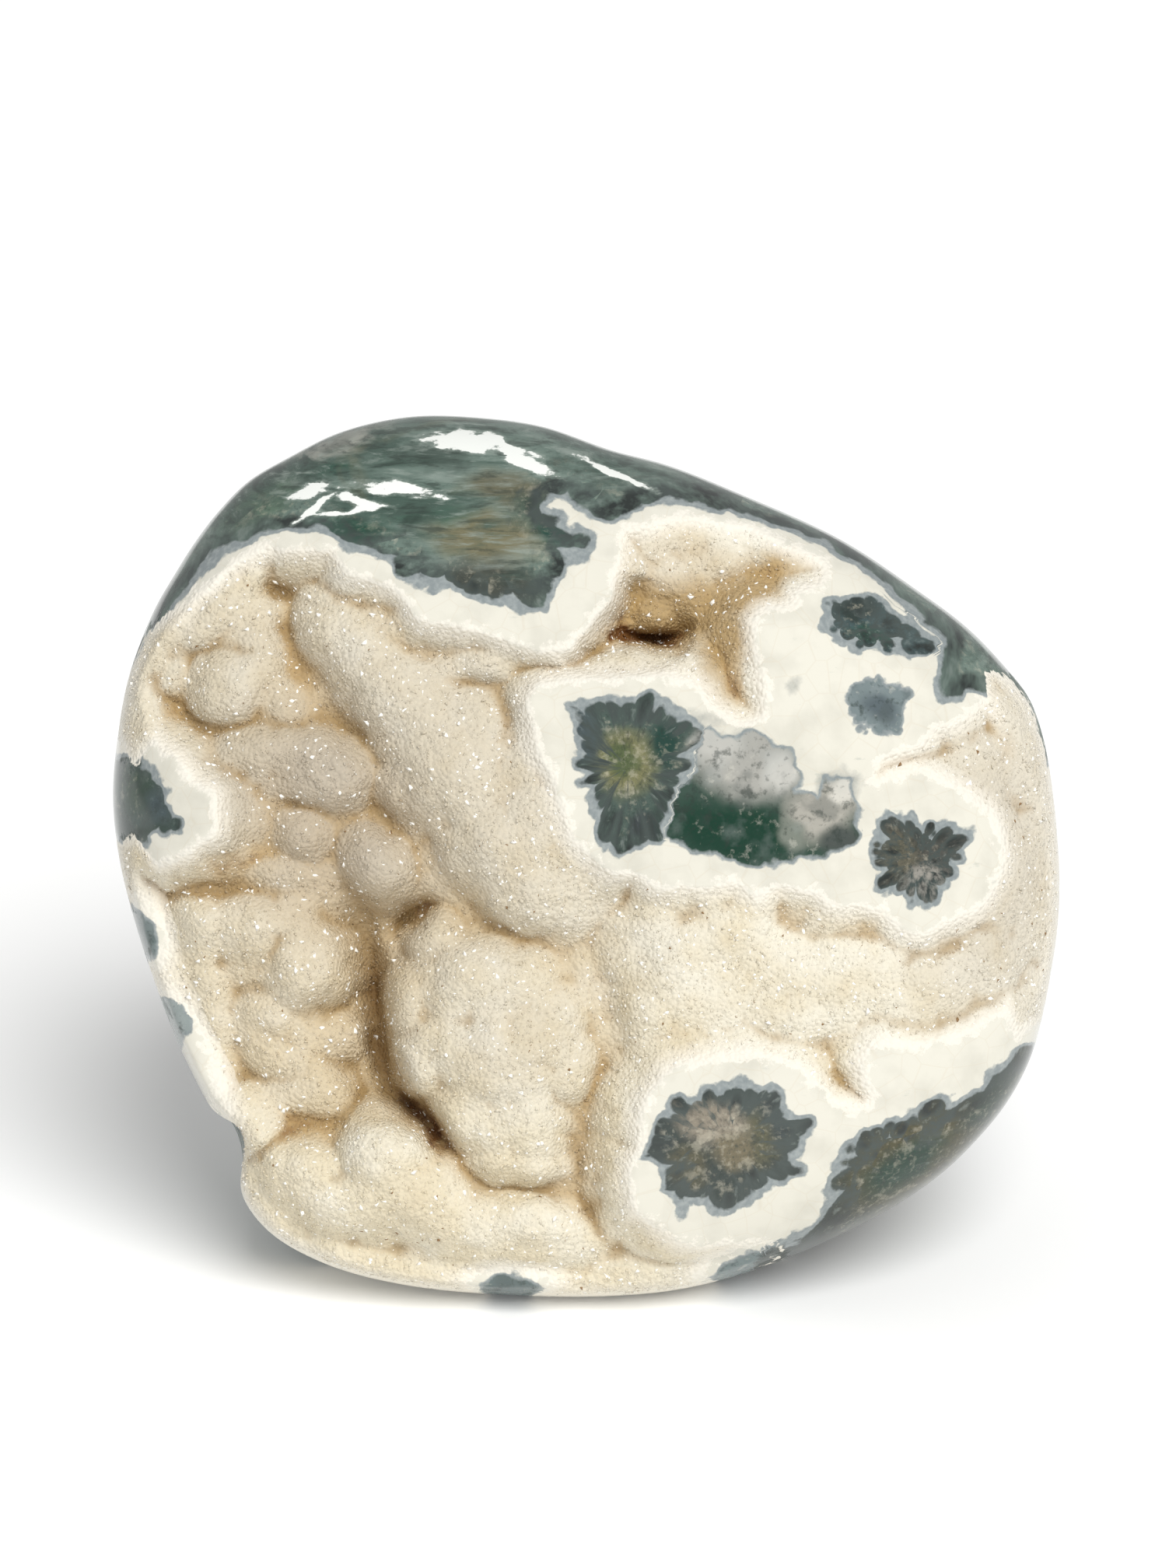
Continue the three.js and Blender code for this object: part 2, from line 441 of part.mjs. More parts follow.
// Turns a point of the face frame into the stone's own frame, with the face leaning back.
function leanBack({ x: u, y: v, z: w }) {
  const c = Math.cos(radians(FACE_LEAN_DEG));
  const s = Math.sin(radians(FACE_LEAN_DEG));
  return [u, v * s - w * c, v * c + w * s];
}

function lumpyPebble() {
  const sphere = new THREE.IcosahedronGeometry(1, SPHERE_DETAIL);
  sphere.deleteAttribute("normal");
  sphere.deleteAttribute("uv");
  const geometry = mergeVertices(sphere);
  const position = geometry.getAttribute("position");
  const direction = new THREE.Vector3();
  const plan = [];
  for (let i = 0; i < position.count; i += 1) {
    direction.fromBufferAttribute(position, i).normalize();
    const sweep = sweepAtShare((1 - direction.z) / 2);
    const front = sweep < Math.PI / 2;
    const [across] = sectionPoint(sweep, front ? FACE_EXPONENT : BACK_EXPONENT);
    const angle = Math.atan2(direction.y, direction.x);
    plan.push({ a: across * Math.cos(angle), b: across * Math.sin(angle), front });
  }
  const neighbours = cornerNeighbours(geometry.index.array, position.count);
  gatherCorners(plan, neighbours);
  const points = plan.map(({ a, b, front }) => stonePoint(Math.hypot(a, b), Math.atan2(b, a), front));
  evenGround(points, neighbours);
  points.forEach((point, i) => position.setXYZ(i, ...leanBack(point)));
  return geometry;
}

// A block that lies below the level of the ground flat.
function blockUnderBase() {
  const side = 4 * MIDDLE_RADIUS;
  const block = new THREE.BoxGeometry(side, side, side);
  block.deleteAttribute("normal");
  block.deleteAttribute("uv");
  block.translate(0, 0, -BASE_DROP - side / 2);
  return mergeVertices(block);
}

const manifold = await Module();
manifold.setup();

function toSolid(geometry) {
  const mesh = new manifold.Mesh({
    numProp: 3,
    vertProperties: new Float32Array(geometry.getAttribute("position").array),
    triVerts: new Uint32Array(geometry.index.array),
  });
  return new manifold.Manifold(mesh);
}

function toGeometry(solid) {
  const mesh = solid.getMesh();
  const geometry = new THREE.BufferGeometry();
  geometry.setAttribute("position", new THREE.BufferAttribute(mesh.vertProperties, 3));
  geometry.setIndex(new THREE.BufferAttribute(mesh.triVerts, 1));
  return geometry;
}

// The whole stone, standing on its flat at z = 0 with the middle of its width and depth over the origin.
function stone() {
  const geometry = toGeometry(toSolid(lumpyPebble()).subtract(toSolid(blockUnderBase())));
  geometry.computeBoundingBox();
  const box = geometry.boundingBox;
  geometry.translate(-(box.min.x + box.max.x) / 2, -(box.min.y + box.max.y) / 2, -box.min.z);
  geometry.computeVertexNormals();
  const material = new THREE.MeshStandardMaterial({ color: 0xd8cfbe, roughness: 0.55, metalness: 0 });
  const mesh = new THREE.Mesh(geometry, material);
  mesh.name = "stone";
  return mesh;
}

const group = new THREE.Group();
group.add(stone());

export default group;
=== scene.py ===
# %% [markdown]
# # Ocean jasper freeform: a lesson in growing and polishing a stone
# The object is one natural stone, about 105 mm wide. It was ground and polished all round, and one face was
# left as it grew: lumps of chalcedony under a coat of fine quartz crystals, which is called druze. Where a
# lump was ground off flush with the polish, it shows its inside: a dark green core with a blue-grey and a
# white rim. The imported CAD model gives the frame: its box, its one body "root" and its one node "stone".

import math

import bpy
import numpy as np
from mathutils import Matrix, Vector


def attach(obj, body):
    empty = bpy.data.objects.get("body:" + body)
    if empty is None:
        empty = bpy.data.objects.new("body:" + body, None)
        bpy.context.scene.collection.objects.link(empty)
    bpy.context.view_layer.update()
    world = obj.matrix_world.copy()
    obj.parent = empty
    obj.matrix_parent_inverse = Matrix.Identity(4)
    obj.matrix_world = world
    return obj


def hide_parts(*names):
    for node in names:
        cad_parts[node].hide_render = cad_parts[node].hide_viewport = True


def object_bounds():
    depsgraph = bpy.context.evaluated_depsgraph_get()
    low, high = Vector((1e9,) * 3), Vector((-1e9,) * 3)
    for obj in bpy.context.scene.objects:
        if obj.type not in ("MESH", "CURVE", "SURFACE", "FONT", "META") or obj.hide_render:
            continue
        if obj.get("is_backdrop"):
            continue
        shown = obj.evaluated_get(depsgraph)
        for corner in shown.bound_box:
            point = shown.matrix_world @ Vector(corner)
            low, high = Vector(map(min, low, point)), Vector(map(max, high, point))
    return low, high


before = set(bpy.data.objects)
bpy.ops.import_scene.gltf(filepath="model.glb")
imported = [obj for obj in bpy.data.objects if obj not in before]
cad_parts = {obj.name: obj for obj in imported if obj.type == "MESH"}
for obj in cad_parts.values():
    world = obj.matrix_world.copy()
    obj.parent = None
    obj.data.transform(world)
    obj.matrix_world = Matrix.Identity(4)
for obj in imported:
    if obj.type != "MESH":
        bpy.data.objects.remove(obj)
CAD_LOW, CAD_HIGH = (np.array(corner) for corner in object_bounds())
print("CAD box in mm:", (CAD_HIGH - CAD_LOW) * 1000)

# %% [markdown]
# ## The face frame
# The rough face leans back by 18 degrees. Everything on it is easier to place in a frame of its own: u runs
# to the right across the face, v up the face, and w straight out of it, all in millimetres.

# %% The face frame
FACE_LEAN = math.radians(18)
LEAN_COS = math.cos(FACE_LEAN)
LEAN_SIN = math.sin(FACE_LEAN)
BASE_DROP = 44.1
MM = 0.001


def lean_back(u, v, w):
    """Turns points of the face frame into the stone's frame, in mm above the ground flat."""
    return np.stack((u, v * LEAN_SIN - w * LEAN_COS, v * LEAN_COS + w * LEAN_SIN + BASE_DROP), axis=-1)


print("a point 24 mm out of the face lies at", lean_back(0.0, 0.0, 24.0))

# %% [markdown]
# ## The pebble
# The polished outside is a smooth pebble. Its widest outline is a closed curve in the plane of the face,
# and every section from the middle to that outline is part of a superellipse: flat on the face, broad at
# the top shoulder, and deeper behind. A subdivided sphere could be sculpted to this, but the CAD solid
# follows the same rule, so the rule is repeated here and the two agree everywhere.

# %% Sizes and outline of the pebble
FRONT_REACH = 26
BACK_REACH = 33
BACK_SWELL = 0.12
BACK_SWELL_TURN = math.radians(-70)
FACE_EXPONENT = 3.6
SHOULDER_DROP = 1.3
SHOULDER_TURN = math.radians(112)
SHOULDER_SPREAD = 0.75
BACK_EXPONENT = 2.8
OUTLINE = [
    (-11.3, 48.7), (-19.7, 48.9), (-27.5, 47.2), (-33.6, 44.2), (-37.9, 41.6), (-41.3, 38.1), (-43.9, 34.6),
    (-46, 31.2), (-48, 27.7), (-49.5, 24.2), (-51, 19.8), (-52, 14.6), (-52.7, 6.8), (-52, -0.2),
    (-50.3, -7.1), (-48, -14.1), (-45.3, -21.1), (-42, -28), (-40, -33.4), (-38.3, -38), (-35, -42),
    (-28.8, -45.4), (-20.5, -47.6), (-10.1, -48.7), (2.1, -48.9), (10.8, -48), (19.5, -45.6), (28.2, -42),
    (34.6, -38.5), (39.5, -35), (43.1, -31.5), (46, -28), (48.1, -24.5), (49.5, -21.1), (51.1, -14.1),
    (52.1, -7.1), (52.2, -1), (51.3, 8.5), (50.2, 13.9), (48.8, 17.5), (46, 21.1), (41.9, 25.3),
    (36.3, 29.5), (28, 35), (16.9, 40.1), (9, 43.3), (2.5, 45.1), (-4.9, 47.7),
]
OUTLINE_STEPS = 12
NOTCH_TURN = math.radians(-141)
NOTCH_SPREAD = math.radians(3.2)
NOTCH_DEPTH = 3.6
NOTCH_W = 6
NOTCH_REACH = 10
print(len(OUTLINE), "points on the outline")

# %% Make the outline a smooth closed curve


def closed_curve(points, steps):
    """Points of a closed centripetal Catmull-Rom curve through the given points."""
    points = np.array(points, float)
    count = len(points)
    curve = []
    for i in range(count):
        p0, p1, p2, p3 = (points[(i + k - 1) % count] for k in range(4))
        gaps = [max(math.dist(a, b), 1e-6) ** 0.5 for a, b in ((p0, p1), (p1, p2), (p2, p3))]
        t0, t1 = 0, gaps[0]
        t2, t3 = gaps[0] + gaps[1], sum(gaps)
        t = (t1 + (t2 - t1) * np.arange(steps) / steps)[:, None]
        a1 = (t1 - t) / (t1 - t0) * p0 + (t - t0) / (t1 - t0) * p1
        a2 = (t2 - t) / (t2 - t1) * p1 + (t - t1) / (t2 - t1) * p2
        a3 = (t3 - t) / (t3 - t2) * p2 + (t - t2) / (t3 - t2) * p3
        b1 = (t2 - t) / (t2 - t0) * a1 + (t - t0) / (t2 - t0) * a2
        b2 = (t3 - t) / (t3 - t1) * a2 + (t - t1) / (t3 - t1) * a3
        curve.append((t2 - t) / (t2 - t1) * b1 + (t - t1) / (t2 - t1) * b2)
    return np.concatenate(curve)


outline_curve = closed_curve(OUTLINE, OUTLINE_STEPS)
outline_turns = np.unwrap(np.arctan2(outline_curve[:, 1], outline_curve[:, 0]))
outline_order = np.argsort(outline_turns)
outline_turns = outline_turns[outline_order]
outline_radii = np.hypot(outline_curve[:, 0], outline_curve[:, 1])[outline_order]


def outline_radius(turn):
    return np.interp(turn, outline_turns, outline_radii, period=2 * math.pi)


def turn_between(a, b):
    return np.arctan2(np.sin(a - b), np.cos(a - b))


print("outline radius to the right and up:", outline_radius(0.0), outline_radius(math.pi / 2))

# %% Sections of the pebble


def front_exponent(turn):
    sideways = turn_between(turn, SHOULDER_TURN) / SHOULDER_SPREAD
    return FACE_EXPONENT - SHOULDER_DROP * np.exp(-(sideways**2))


def back_reach(across, turn):
    return BACK_REACH * (1 + BACK_SWELL * across * np.cos(turn - BACK_SWELL_TURN))


def notch_depth(turn, w):
    sideways = turn_between(turn, NOTCH_TURN) / NOTCH_SPREAD
    return NOTCH_DEPTH * np.exp(-(sideways**2) - ((w - NOTCH_W) / NOTCH_REACH) ** 2)


def section_point(sweep, exponent):
    """Share of the outline radius and share of the reach at one sweep of a section."""
    across, out = np.sin(sweep), np.cos(sweep)
    size = (np.abs(across) ** exponent + np.abs(out) ** exponent) ** (-1 / exponent)
    return across * size, out * size


def pebble_point(a, b, front):
    """The polished pebble at [a, b], shares of the outline radius in the plane of the face."""
    across = np.minimum(np.hypot(a, b), 1)
    turn = np.arctan2(b, a)
    exponent = np.where(front, front_exponent(turn), BACK_EXPONENT)
    out = np.maximum(0, 1 - across**exponent) ** (1 / exponent)
    w = np.where(front, out * FRONT_REACH, -out * back_reach(across, turn))
    radius = across * (outline_radius(turn) - notch_depth(turn, w))
    return radius * np.cos(turn), radius * np.sin(turn), w


print("the middle of the face lies at", pebble_point(0.0, 0.0, True))

# %% [markdown]
# ## Noise that numpy can use
# Stone is never regular. Two small functions give smooth random values and round random cells for many
# points at once, from a fixed mixing of whole numbers, so that every run gives the same stone.

# %% Mix whole numbers into random shares
# Whole numbers and shifts that mix the bits of a cell's place well.
CELL_MIXERS = (73856093, 19349663, 83492791)
SALT_MIXER = 2654435761
MIX_ROUNDS = ((13, 1274126177), (16, 2246822519))
LAST_SHIFT = 15
LOW_BITS = 0xFFFFFFFF


def mixed(cells, salt):
    """One random share from 0 to 1 for each whole-number cell, always the same for the same cell."""
    whole = cells.astype(np.int64)
    value = salt * SALT_MIXER
    for k, mixer in enumerate(CELL_MIXERS):
        value = value ^ (whole[..., k] * mixer)
    for shift, mixer in MIX_ROUNDS:
        value = (value ^ (value >> shift)) * mixer & LOW_BITS
    return (value ^ (value >> LAST_SHIFT)) / LOW_BITS


def mixed_point(cells, salt):
    """A random place in each cell, as shares from 0 to 1 along its three sides."""
    return np.stack([mixed(cells, salt + k) for k in range(3)], axis=-1)


print("random shares of three cells:", mixed(np.arange(9).reshape(3, 3), 1))

# %% Smooth noise and round caps
CELL_MARGIN = 0.15
CAP_REACH = 0.8


def eased(share):
    """Turns a share from 0 to 1 into one that starts and ends gently."""
    return share * share * (3 - 2 * share)


def smooth_noise(points, size, salt):
    """Noise from -1 to 1 whose features are about `size` across, at points [n, 3]."""
    place = points / size
    corner = np.floor(place)
    share = eased(place - corner)
    total = 0
    for step in np.ndindex(2, 2, 2):
        weight = np.prod(np.where(np.array(step) == 1, share, 1 - share), axis=-1)
        total = total + weight * mixed(corner + step, salt)
    return total * 2 - 1


def round_caps(points, size, salt):
    """Caps of balls around scattered points about `size` apart: 1 on a crown, falling to 0 between them."""
    place = points / size
    corner = np.floor(place)
    nearest = np.full(len(points), np.inf)
    for step in np.ndindex(3, 3, 3):
        cell = corner + step - 1
        middle = cell + CELL_MARGIN + (1 - 2 * CELL_MARGIN) * mixed_point(cell, salt)
        nearest = np.minimum(nearest, np.sum((middle - place) ** 2, axis=-1))
    return np.clip(1 - nearest / CAP_REACH, 0, 1)


def flat_points(u, v):
    return np.stack((u, v, np.zeros_like(u)), axis=-1)


print("noise at three points:", smooth_noise(np.array([(0.2, 0.1, 0), (5, 3, 1), (9, 9, 9)]), 4, 1))

# %% [markdown]
# ## The rough face
# The druze lies below the polish. Its border is one closed line on the face, and inside it the depth is the
# least of many ellipsoid caps, one for each lump, with a fillet where they meet. Small knobs stand on the
# lumps and creases run between them. The lists are the ones of the CAD solid, in millimetres on the face.

# %% The border and its lip
ROUGH_BORDER = [
    (-49, 16.5), (-49, 19.5), (-47.5, 22), (-46, 24), (-43.5, 27.5), (-39.5, 31), (-36, 33), (-34, 34),
    (-32.5, 33.5), (-30, 33.5), (-27.5, 33), (-26, 31), (-24, 30), (-22, 29), (-20, 27.5), (-18, 25.5),
    (-15, 25), (-12.5, 24.5), (-9.5, 23.5), (-6.5, 22.5), (-3.5, 22), (-2, 22.5), (-1, 23.5), (1, 25.5),
    (2.5, 27.5), (2.5, 30.5), (3, 34), (3.5, 35.5), (6, 36), (10, 36.5), (14, 36), (17.5, 35.5), (21.5, 34),
    (24.5, 33), (26, 31.5), (25, 29), (23, 28), (22, 26.5), (19, 26), (18, 24.5), (18, 22), (18.5, 19.5),
    (19, 17), (18.5, 15), (16, 14.5), (13.5, 16), (11.5, 18), (8, 19), (4.5, 19), (0.5, 19), (-3.5, 19),
    (-6, 18), (-6.5, 16.5), (-6, 14.5), (-5.5, 11.5), (-4.5, 9.5), (-3.5, 7.5), (-2.5, 3.5), (-1.5, 1.5),
    (0.5, 0), (2.5, -1.5), (5, -1.5), (7, -3), (10, -3), (13, -3), (16, -2.5), (18, -4), (20.5, -3),
    (22.5, -3.5), (24.5, -4), (26.5, -5.5), (29, -5.5), (32, -6), (33.5, -7.5), (36, -8.5), (38.5, -7.5),
    (41.5, -5.5), (43.5, -3), (44.5, 0), (44, 3), (41.5, 6), (38.5, 8), (35.5, 9), (33, 8.5), (30.5, 8),
    (31, 10), (33.5, 11), (36, 12), (37.5, 13.5), (40, 14.5), (42, 16), (43.5, 17), (46, 14.5), (48, 10.5),
    (49.5, 5), (50.5, -1), (50.5, -8), (49.5, -14.5), (45.5, -16.5), (40.5, -19), (36, -20.5), (31.5, -20),
    (29.5, -22.5), (30.5, -26.5), (26.5, -26.5), (24.5, -24.5), (21.5, -22.5), (17, -21), (12, -21.5),
    (8.5, -22.5), (7, -24.5), (5.5, -27), (5.5, -31), (4.5, -33), (4.5, -36.5), (5, -38.5), (7, -39.5),
    (9.5, -41.5), (12, -42), (15, -42), (18, -43.5), (12, -46), (2, -47), (-9.5, -47), (-19.5, -45.5),
    (-27.5, -44), (-34, -41), (-37.5, -37), (-39, -32.5), (-37, -30.5), (-40.5, -27), (-44, -20),
    (-46.5, -13.5), (-48.5, -7), (-49.5, -2), (-48.5, -1), (-46.5, -1), (-44, 0), (-42, 1.5), (-40, 2.5),
    (-40, 4), (-40.5, 6.5), (-42.5, 8), (-45, 10.5), (-47.5, 13),
]
LIP_SLOPE = 0.8
LIP_SLOPE_LEFT_EXTRA = 0.6
# The left wall of the pocket is steeper: (u, v, half length, half width, turn in degrees, extra slope).
STEEP_LIP = (3.5, 24.5, 8, 6.5, 0, 2.6)
LIP_ROUND = 0.6
LEAST_SHARE = 0.08
LEAST_DEPTH = 0.3
print(len(ROUGH_BORDER), "points on the border")

# %% The hollows and the lumps
GROUND_DEPTH = 3.6
GROUND_LEFT_EXTRA = 3.6
GROUND_CHANGE_U = 4
GROUND_CHANGE_WIDTH = 4
# Each hollow is (u, v, half length, half width, turn in degrees, depth).
HOLLOWS = [
    (-23.6, -15, 9.5, 4.2, -88, 19), (-21.2, -25, 6.5, 3.4, -54, 20), (-16.9, -30.2, 4.4, 3, -50, 21),
    (10.5, 28.5, 10, 6.5, 0, 9.5), (7.4, 23.2, 5, 1.8, -10, 15), (3.6, 26.5, 4, 2, 90, 12),
    (-33, -30.2, 8, 1.3, 0, 11), (-20.5, -6.8, 4, 2.6, 0, 12),
]
HOLLOW_FADE = 1.1
# Each lump is (u, v, half length, half width, turn in degrees, depth of its crest, height).
LUMPS = [
    (-36.5, 15.5, 12.5, 12, 20, 6, 9), (-29, 4, 13.5, 9, 0, 8.4, 10), (-37, -10.5, 12, 9, -12, 6, 15),
    (-35.5, -22.5, 12, 9, 0, 8, 10), (-9.5, 21.5, 13, 6, 12, 3.2, 5), (-13, 10.5, 20.5, 10.8, -55, 2, 13),
    (-3, 5, 13, 8.5, -80, 0.9, 6), (-21, 26.5, 9, 6, -32, 3.2, 6), (26, -13.5, 27.5, 9.5, 0, 1.7, 6),
    (9.5, -11.5, 12.5, 10, 90, 2.2, 6), (44.5, -0.5, 17.5, 7.5, 98, 1.6, 6),
    (-41, 28.5, 8.5, 4.5, 42, 1.2, 5), (-38, 25.5, 7, 5.5, 45, 3.8, 6), (-27, 25, 8.5, 6.5, -62, 3, 11),
    (-24.5, 21.4, 13, 6.6, -56, 2.9, 12), (-21.5, 18.5, 10, 6.6, -52, 2.4, 11),
    (-15, 10.5, 11.5, 8.4, -54, 1.9, 13), (-9.5, 2, 11, 9, -58, 1.6, 14), (-6, -2.8, 8.5, 8, -50, 1.6, 14),
    (-10.8, 21.4, 5, 4, 5, 2.3, 5), (-39.6, 18.8, 6.6, 6.4, 0, 2.6, 9.5), (-46, 20, 3.4, 4, 0, 3, 5),
    (-35, 21, 5, 6.5, 10, 5, 7), (-31.5, 9.8, 9.6, 6.6, -10, 4.6, 10), (-36.8, 10.8, 6.2, 4.4, -5, 3.8, 7),
    (-28.3, 9, 7.6, 6, -14, 3.4, 9.5), (-31, 2.3, 5.2, 4, -8, 5, 8), (-22.6, -0.2, 6.2, 4.9, -42, 3.8, 11),
    (-34, -1.4, 5.6, 3.1, -12, 6.4, 5), (-41.5, -1.4, 4.4, 2.6, 8, 6, 4.5), (-20.8, 8, 4, 4.6, 0, 4.9, 7),
    (-37.5, -7.8, 7.4, 5.2, -6, 4.2, 9), (-43.5, -8, 5, 5.4, 0, 3.2, 6), (-31, -9.5, 6.2, 5, -28, 5.4, 10),
    (-31.2, -12.8, 6.6, 6.2, 0, 4.2, 15), (-43, -15.5, 5, 9, 22, 3.6, 6), (-36, -18, 8.5, 5, 0, 6, 7),
    (-31.2, -20.3, 9, 3.8, 4, 7.6, 9), (-33, -26, 9.6, 5, 0, 6.6, 12), (-9, -21.5, 15.5, 12, -85, 2.2, 24),
    (-13.2, -14.2, 11, 10, -70, 2.8, 22), (-14.6, -20, 10.5, 9, -85, 2.8, 26),
    (-8, -29, 10, 8.4, 0, 2.8, 15), (-5, -19, 10, 7.6, -85, 2.7, 14), (-15.8, -9, 6, 5, -20, 4.8, 14),
    (-18.6, -15.5, 5, 7, 0, 5, 14), (-9.8, -14.4, 6.8, 5.6, 0, 2.3, 5),
    (-17.4, -22.6, 5.4, 5.6, -40, 3.8, 14), (-9, -21.8, 7, 6, 0, 1.5, 5), (-1.9, -22.8, 4.6, 5.6, 0, 3, 8),
    (-12.6, -27.4, 5.2, 4.6, -30, 3, 7), (-6.6, -28.2, 4.8, 4.4, 0, 2.3, 5.5),
    (-7.8, -33.4, 8.2, 3.8, 0, 4, 10), (-29, -38, 13, 7.8, -22, 2, 9), (-9, -42, 17, 7, -3, 1.9, 9),
    (-33, -35.2, 7, 5.4, -10, 2.1, 9), (-22.2, -33.4, 6.8, 6.6, 0, 1, 13),
    (-20.5, -37, 12, 7.2, -14, 1.7, 10), (3.8, -27.5, 3.4, 4.8, 0, 3, 6), (3.4, -34.5, 3.6, 5.4, 0, 2.6, 7),
    (9.5, -42.5, 7.5, 3.5, 5, 2.2, 6), (9.5, -12.5, 9.5, 7.5, 90, 1.7, 6.5), (15.5, -7.5, 7, 5.4, 0, 1, 5),
    (27.5, -13.5, 9, 5.5, 0, 1.1, 5), (36, -15, 9.5, 5.5, 0, 0.9, 4.5), (22.5, -17.5, 5, 4, 0, 1.3, 4.5),
    (44, -11.5, 6, 5.5, 0, 0.8, 4.5), (46.5, -2.5, 9.5, 5, 90, 0.9, 4.5), (43, 9.5, 6.5, 5.5, 0, 1, 4.5),
    (5, 19.4, 7.8, 3.5, -6, 1.6, 6), (9.4, 31.6, 8.4, 6, -8, 3.4, 8), (16.4, 32.2, 7, 4, -12, 2.8, 7),
    (21.5, 32, 5.5, 3, -15, 2, 6), (11.8, 28.4, 4.6, 4, 20, 5.2, 7), (18.2, 27, 6.4, 2.8, 40, 2.8, 6),
    (16.2, 21.8, 6.5, 2.8, 80, 3, 7), (6, 34, 4.5, 3, 0, 2.8, 6), (12.6, 20, 4, 2.4, -30, 2.6, 6),
    (-0.6, 25.4, 3.2, 4.2, -20, 1.2, 6), (7, 27.2, 4.2, 4, 0, 5.6, 7),
]
LUMP_FILLET = 0.5
LUMP_TURN = 0.78
print(len(LUMPS), "lumps and", len(HOLLOWS), "hollows")

# %% The knobs and the creases on the lumps
# Each one is (u, v, half length, half width, turn in degrees, height or depth).
KNOB_FADE = 1.5
CREASE_FADE = 2
KNOBS = [
    (-20, 18, 6, 5, -52, 0.6), (-13.5, 8, 5.5, 5.5, 0, 0.6), (-9, 1.5, 6, 5.5, -58, 0.6),
    (-9, 14, 7, 5, -60, 0.6), (-23, 24, 4.5, 4, 0, 0.6), (-25, 30, 5, 3.6, -20, 0.7),
    (-30, 30.5, 4.6, 4, 0, 0.7), (-34, 32, 4, 3, 0, 0.6), (-30.5, 24, 4, 4, 0, 0.7),
    (-34.5, 22, 3.6, 4, 0, 0.8), (-32.5, 16, 3.8, 3.4, 90, 0.9), (-43.5, 24, 3.6, 3.4, 0, 0.7),
    (-45.5, 13, 4, 3, 0, 0.8), (-41, 8.5, 4, 3.6, 0, 0.8), (-33.5, 12.5, 3.6, 3, 0, 0.7),
    (-30, 12.5, 4, 3.2, 0, 0.7), (-24.5, 10.5, 3.8, 3.4, 0, 0.7), (-35.5, 5.8, 4.2, 3.2, 0, 0.8),
    (-18.5, 5, 4.4, 4.4, 90, 0.7), (-15, -1, 4.4, 4.8, 0, 0.7), (-3, -6.5, 4.6, 4, 0, 0.5),
    (-41, -6.5, 4.4, 3.8, 0, 0.8), (-34, -6.5, 4.6, 3.4, 0, 0.7), (-26.5, -12, 3.8, 4, 20, 0.8),
    (-34, -11, 3.8, 3.6, 0, 0.6), (-40, -12, 3.6, 3, 0, 0.7), (-34.5, -16.5, 4.2, 3, 0, 0.8),
    (-25, -17.5, 4, 2.6, 0, 0.7), (-34.5, -22, 4.6, 2.6, -8, 0.8), (-27, -24.5, 4.2, 3.4, 0, 0.7),
    (-35, -28, 3.6, 2.6, 0, 0.7), (-13, -12.5, 4, 3.6, 0, 0.6), (-19, -19, 3.2, 3.6, 0, 0.7),
    (-12, -20.5, 4.8, 4.4, 0, 0.5), (-6, -13, 4.2, 3.4, 0, 0.6), (-5, -20, 3.8, 3.2, 0, 0.7),
    (-11.5, -24, 4.4, 4, 0, 0.5), (-5, -25.5, 3.8, 3.6, 0, 0.5), (-12, -31, 3.8, 3, -20, 0.7),
    (-5, -33.5, 4, 3.4, 0, 0.6), (-10.5, -33.5, 3.6, 3, 0, 0.6), (-2.5, -17.5, 3.6, 4, 0, 0.6),
    (-25, -30, 3.6, 3.2, 30, 0.6), (-19.5, -31, 3.6, 3.2, 0, 0.6), (-27, -38, 6, 4, -15, 0.8),
    (-35.5, -33.5, 4.2, 3.2, 0, 0.7), (-30, -33.5, 3.8, 3.4, 0, 0.7), (-16, -39.5, 6, 3.6, -10, 0.7),
    (-6, -39.5, 5, 3.2, 0, 0.7), (3, -31, 3.2, 3, 0, 0.7), (2.5, -36.5, 3.4, 2.8, 0, 0.6),
    (5, -40, 4, 3, 0, 0.7), (6, -6, 5.4, 4.2, 0, 0.7), (5.5, -18.5, 4.8, 3.8, 0, 0.8),
    (14.5, -16.5, 7, 4.8, 0, 0.7), (10.5, -11, 5.4, 4.8, 0, 0.6), (20.5, -11.5, 4.8, 3.6, 0, 0.6),
    (28.5, -20, 4.8, 3.6, 90, 0.6), (31, -10.5, 5, 4, 0, 0.6), (38, -12.5, 5, 4, 0, 0.6),
    (42, -8, 3.8, 3, 0, 0.5), (-1, 20, 3.8, 2.4, -30, 0.7), (11, 19.5, 3.6, 3, 0, 0.7),
    (16, 21, 3.6, 3, 90, 0.7), (17.5, 26, 3.8, 3.4, 90, 0.7), (8, 34.5, 5.5, 2.4, 0, 0.6),
    (13.5, 32, 3.6, 3, 0, 0.7),
]
CREASES = [
    (-32.4, 22, 9, 2.6, -78, 1.1), (-26.5, 13, 9, 2.6, -48, 1.1), (-33.6, 30, 3.8, 2.6, -80, 2),
    (-21.8, 4, 8, 2.2, -62, 1), (-41, -0.8, 8, 1.6, 8, 1.2), (25.5, -7.5, 7, 2, -8, 0.8),
    (-12, 18.7, 4.5, 1.6, -8, 1), (-45, 15.6, 4.5, 2, -35, 1.2), (-23.2, -15.5, 9.5, 2.8, -87, 4.5),
    (-21.3, -24, 6.5, 3, -60, 4.5), (-19.2, -6.8, 4, 2.2, 35, 3.5), (-17.6, -28.8, 5, 3, -52, 3.5),
    (7.2, 23.2, 5.5, 1.9, -10, 4.5), (17, 29.2, 7.5, 1.8, 36, 1.4), (2.2, -16, 7.5, 2.4, -72, 0.8),
    (1.6, -26, 8, 2.4, -98, 1), (0.4, -36.5, 6.5, 2.2, -80, 1.2),
]


print(len(KNOBS), "knobs and", len(CREASES), "creases")

# %% Distances from ovals and borders


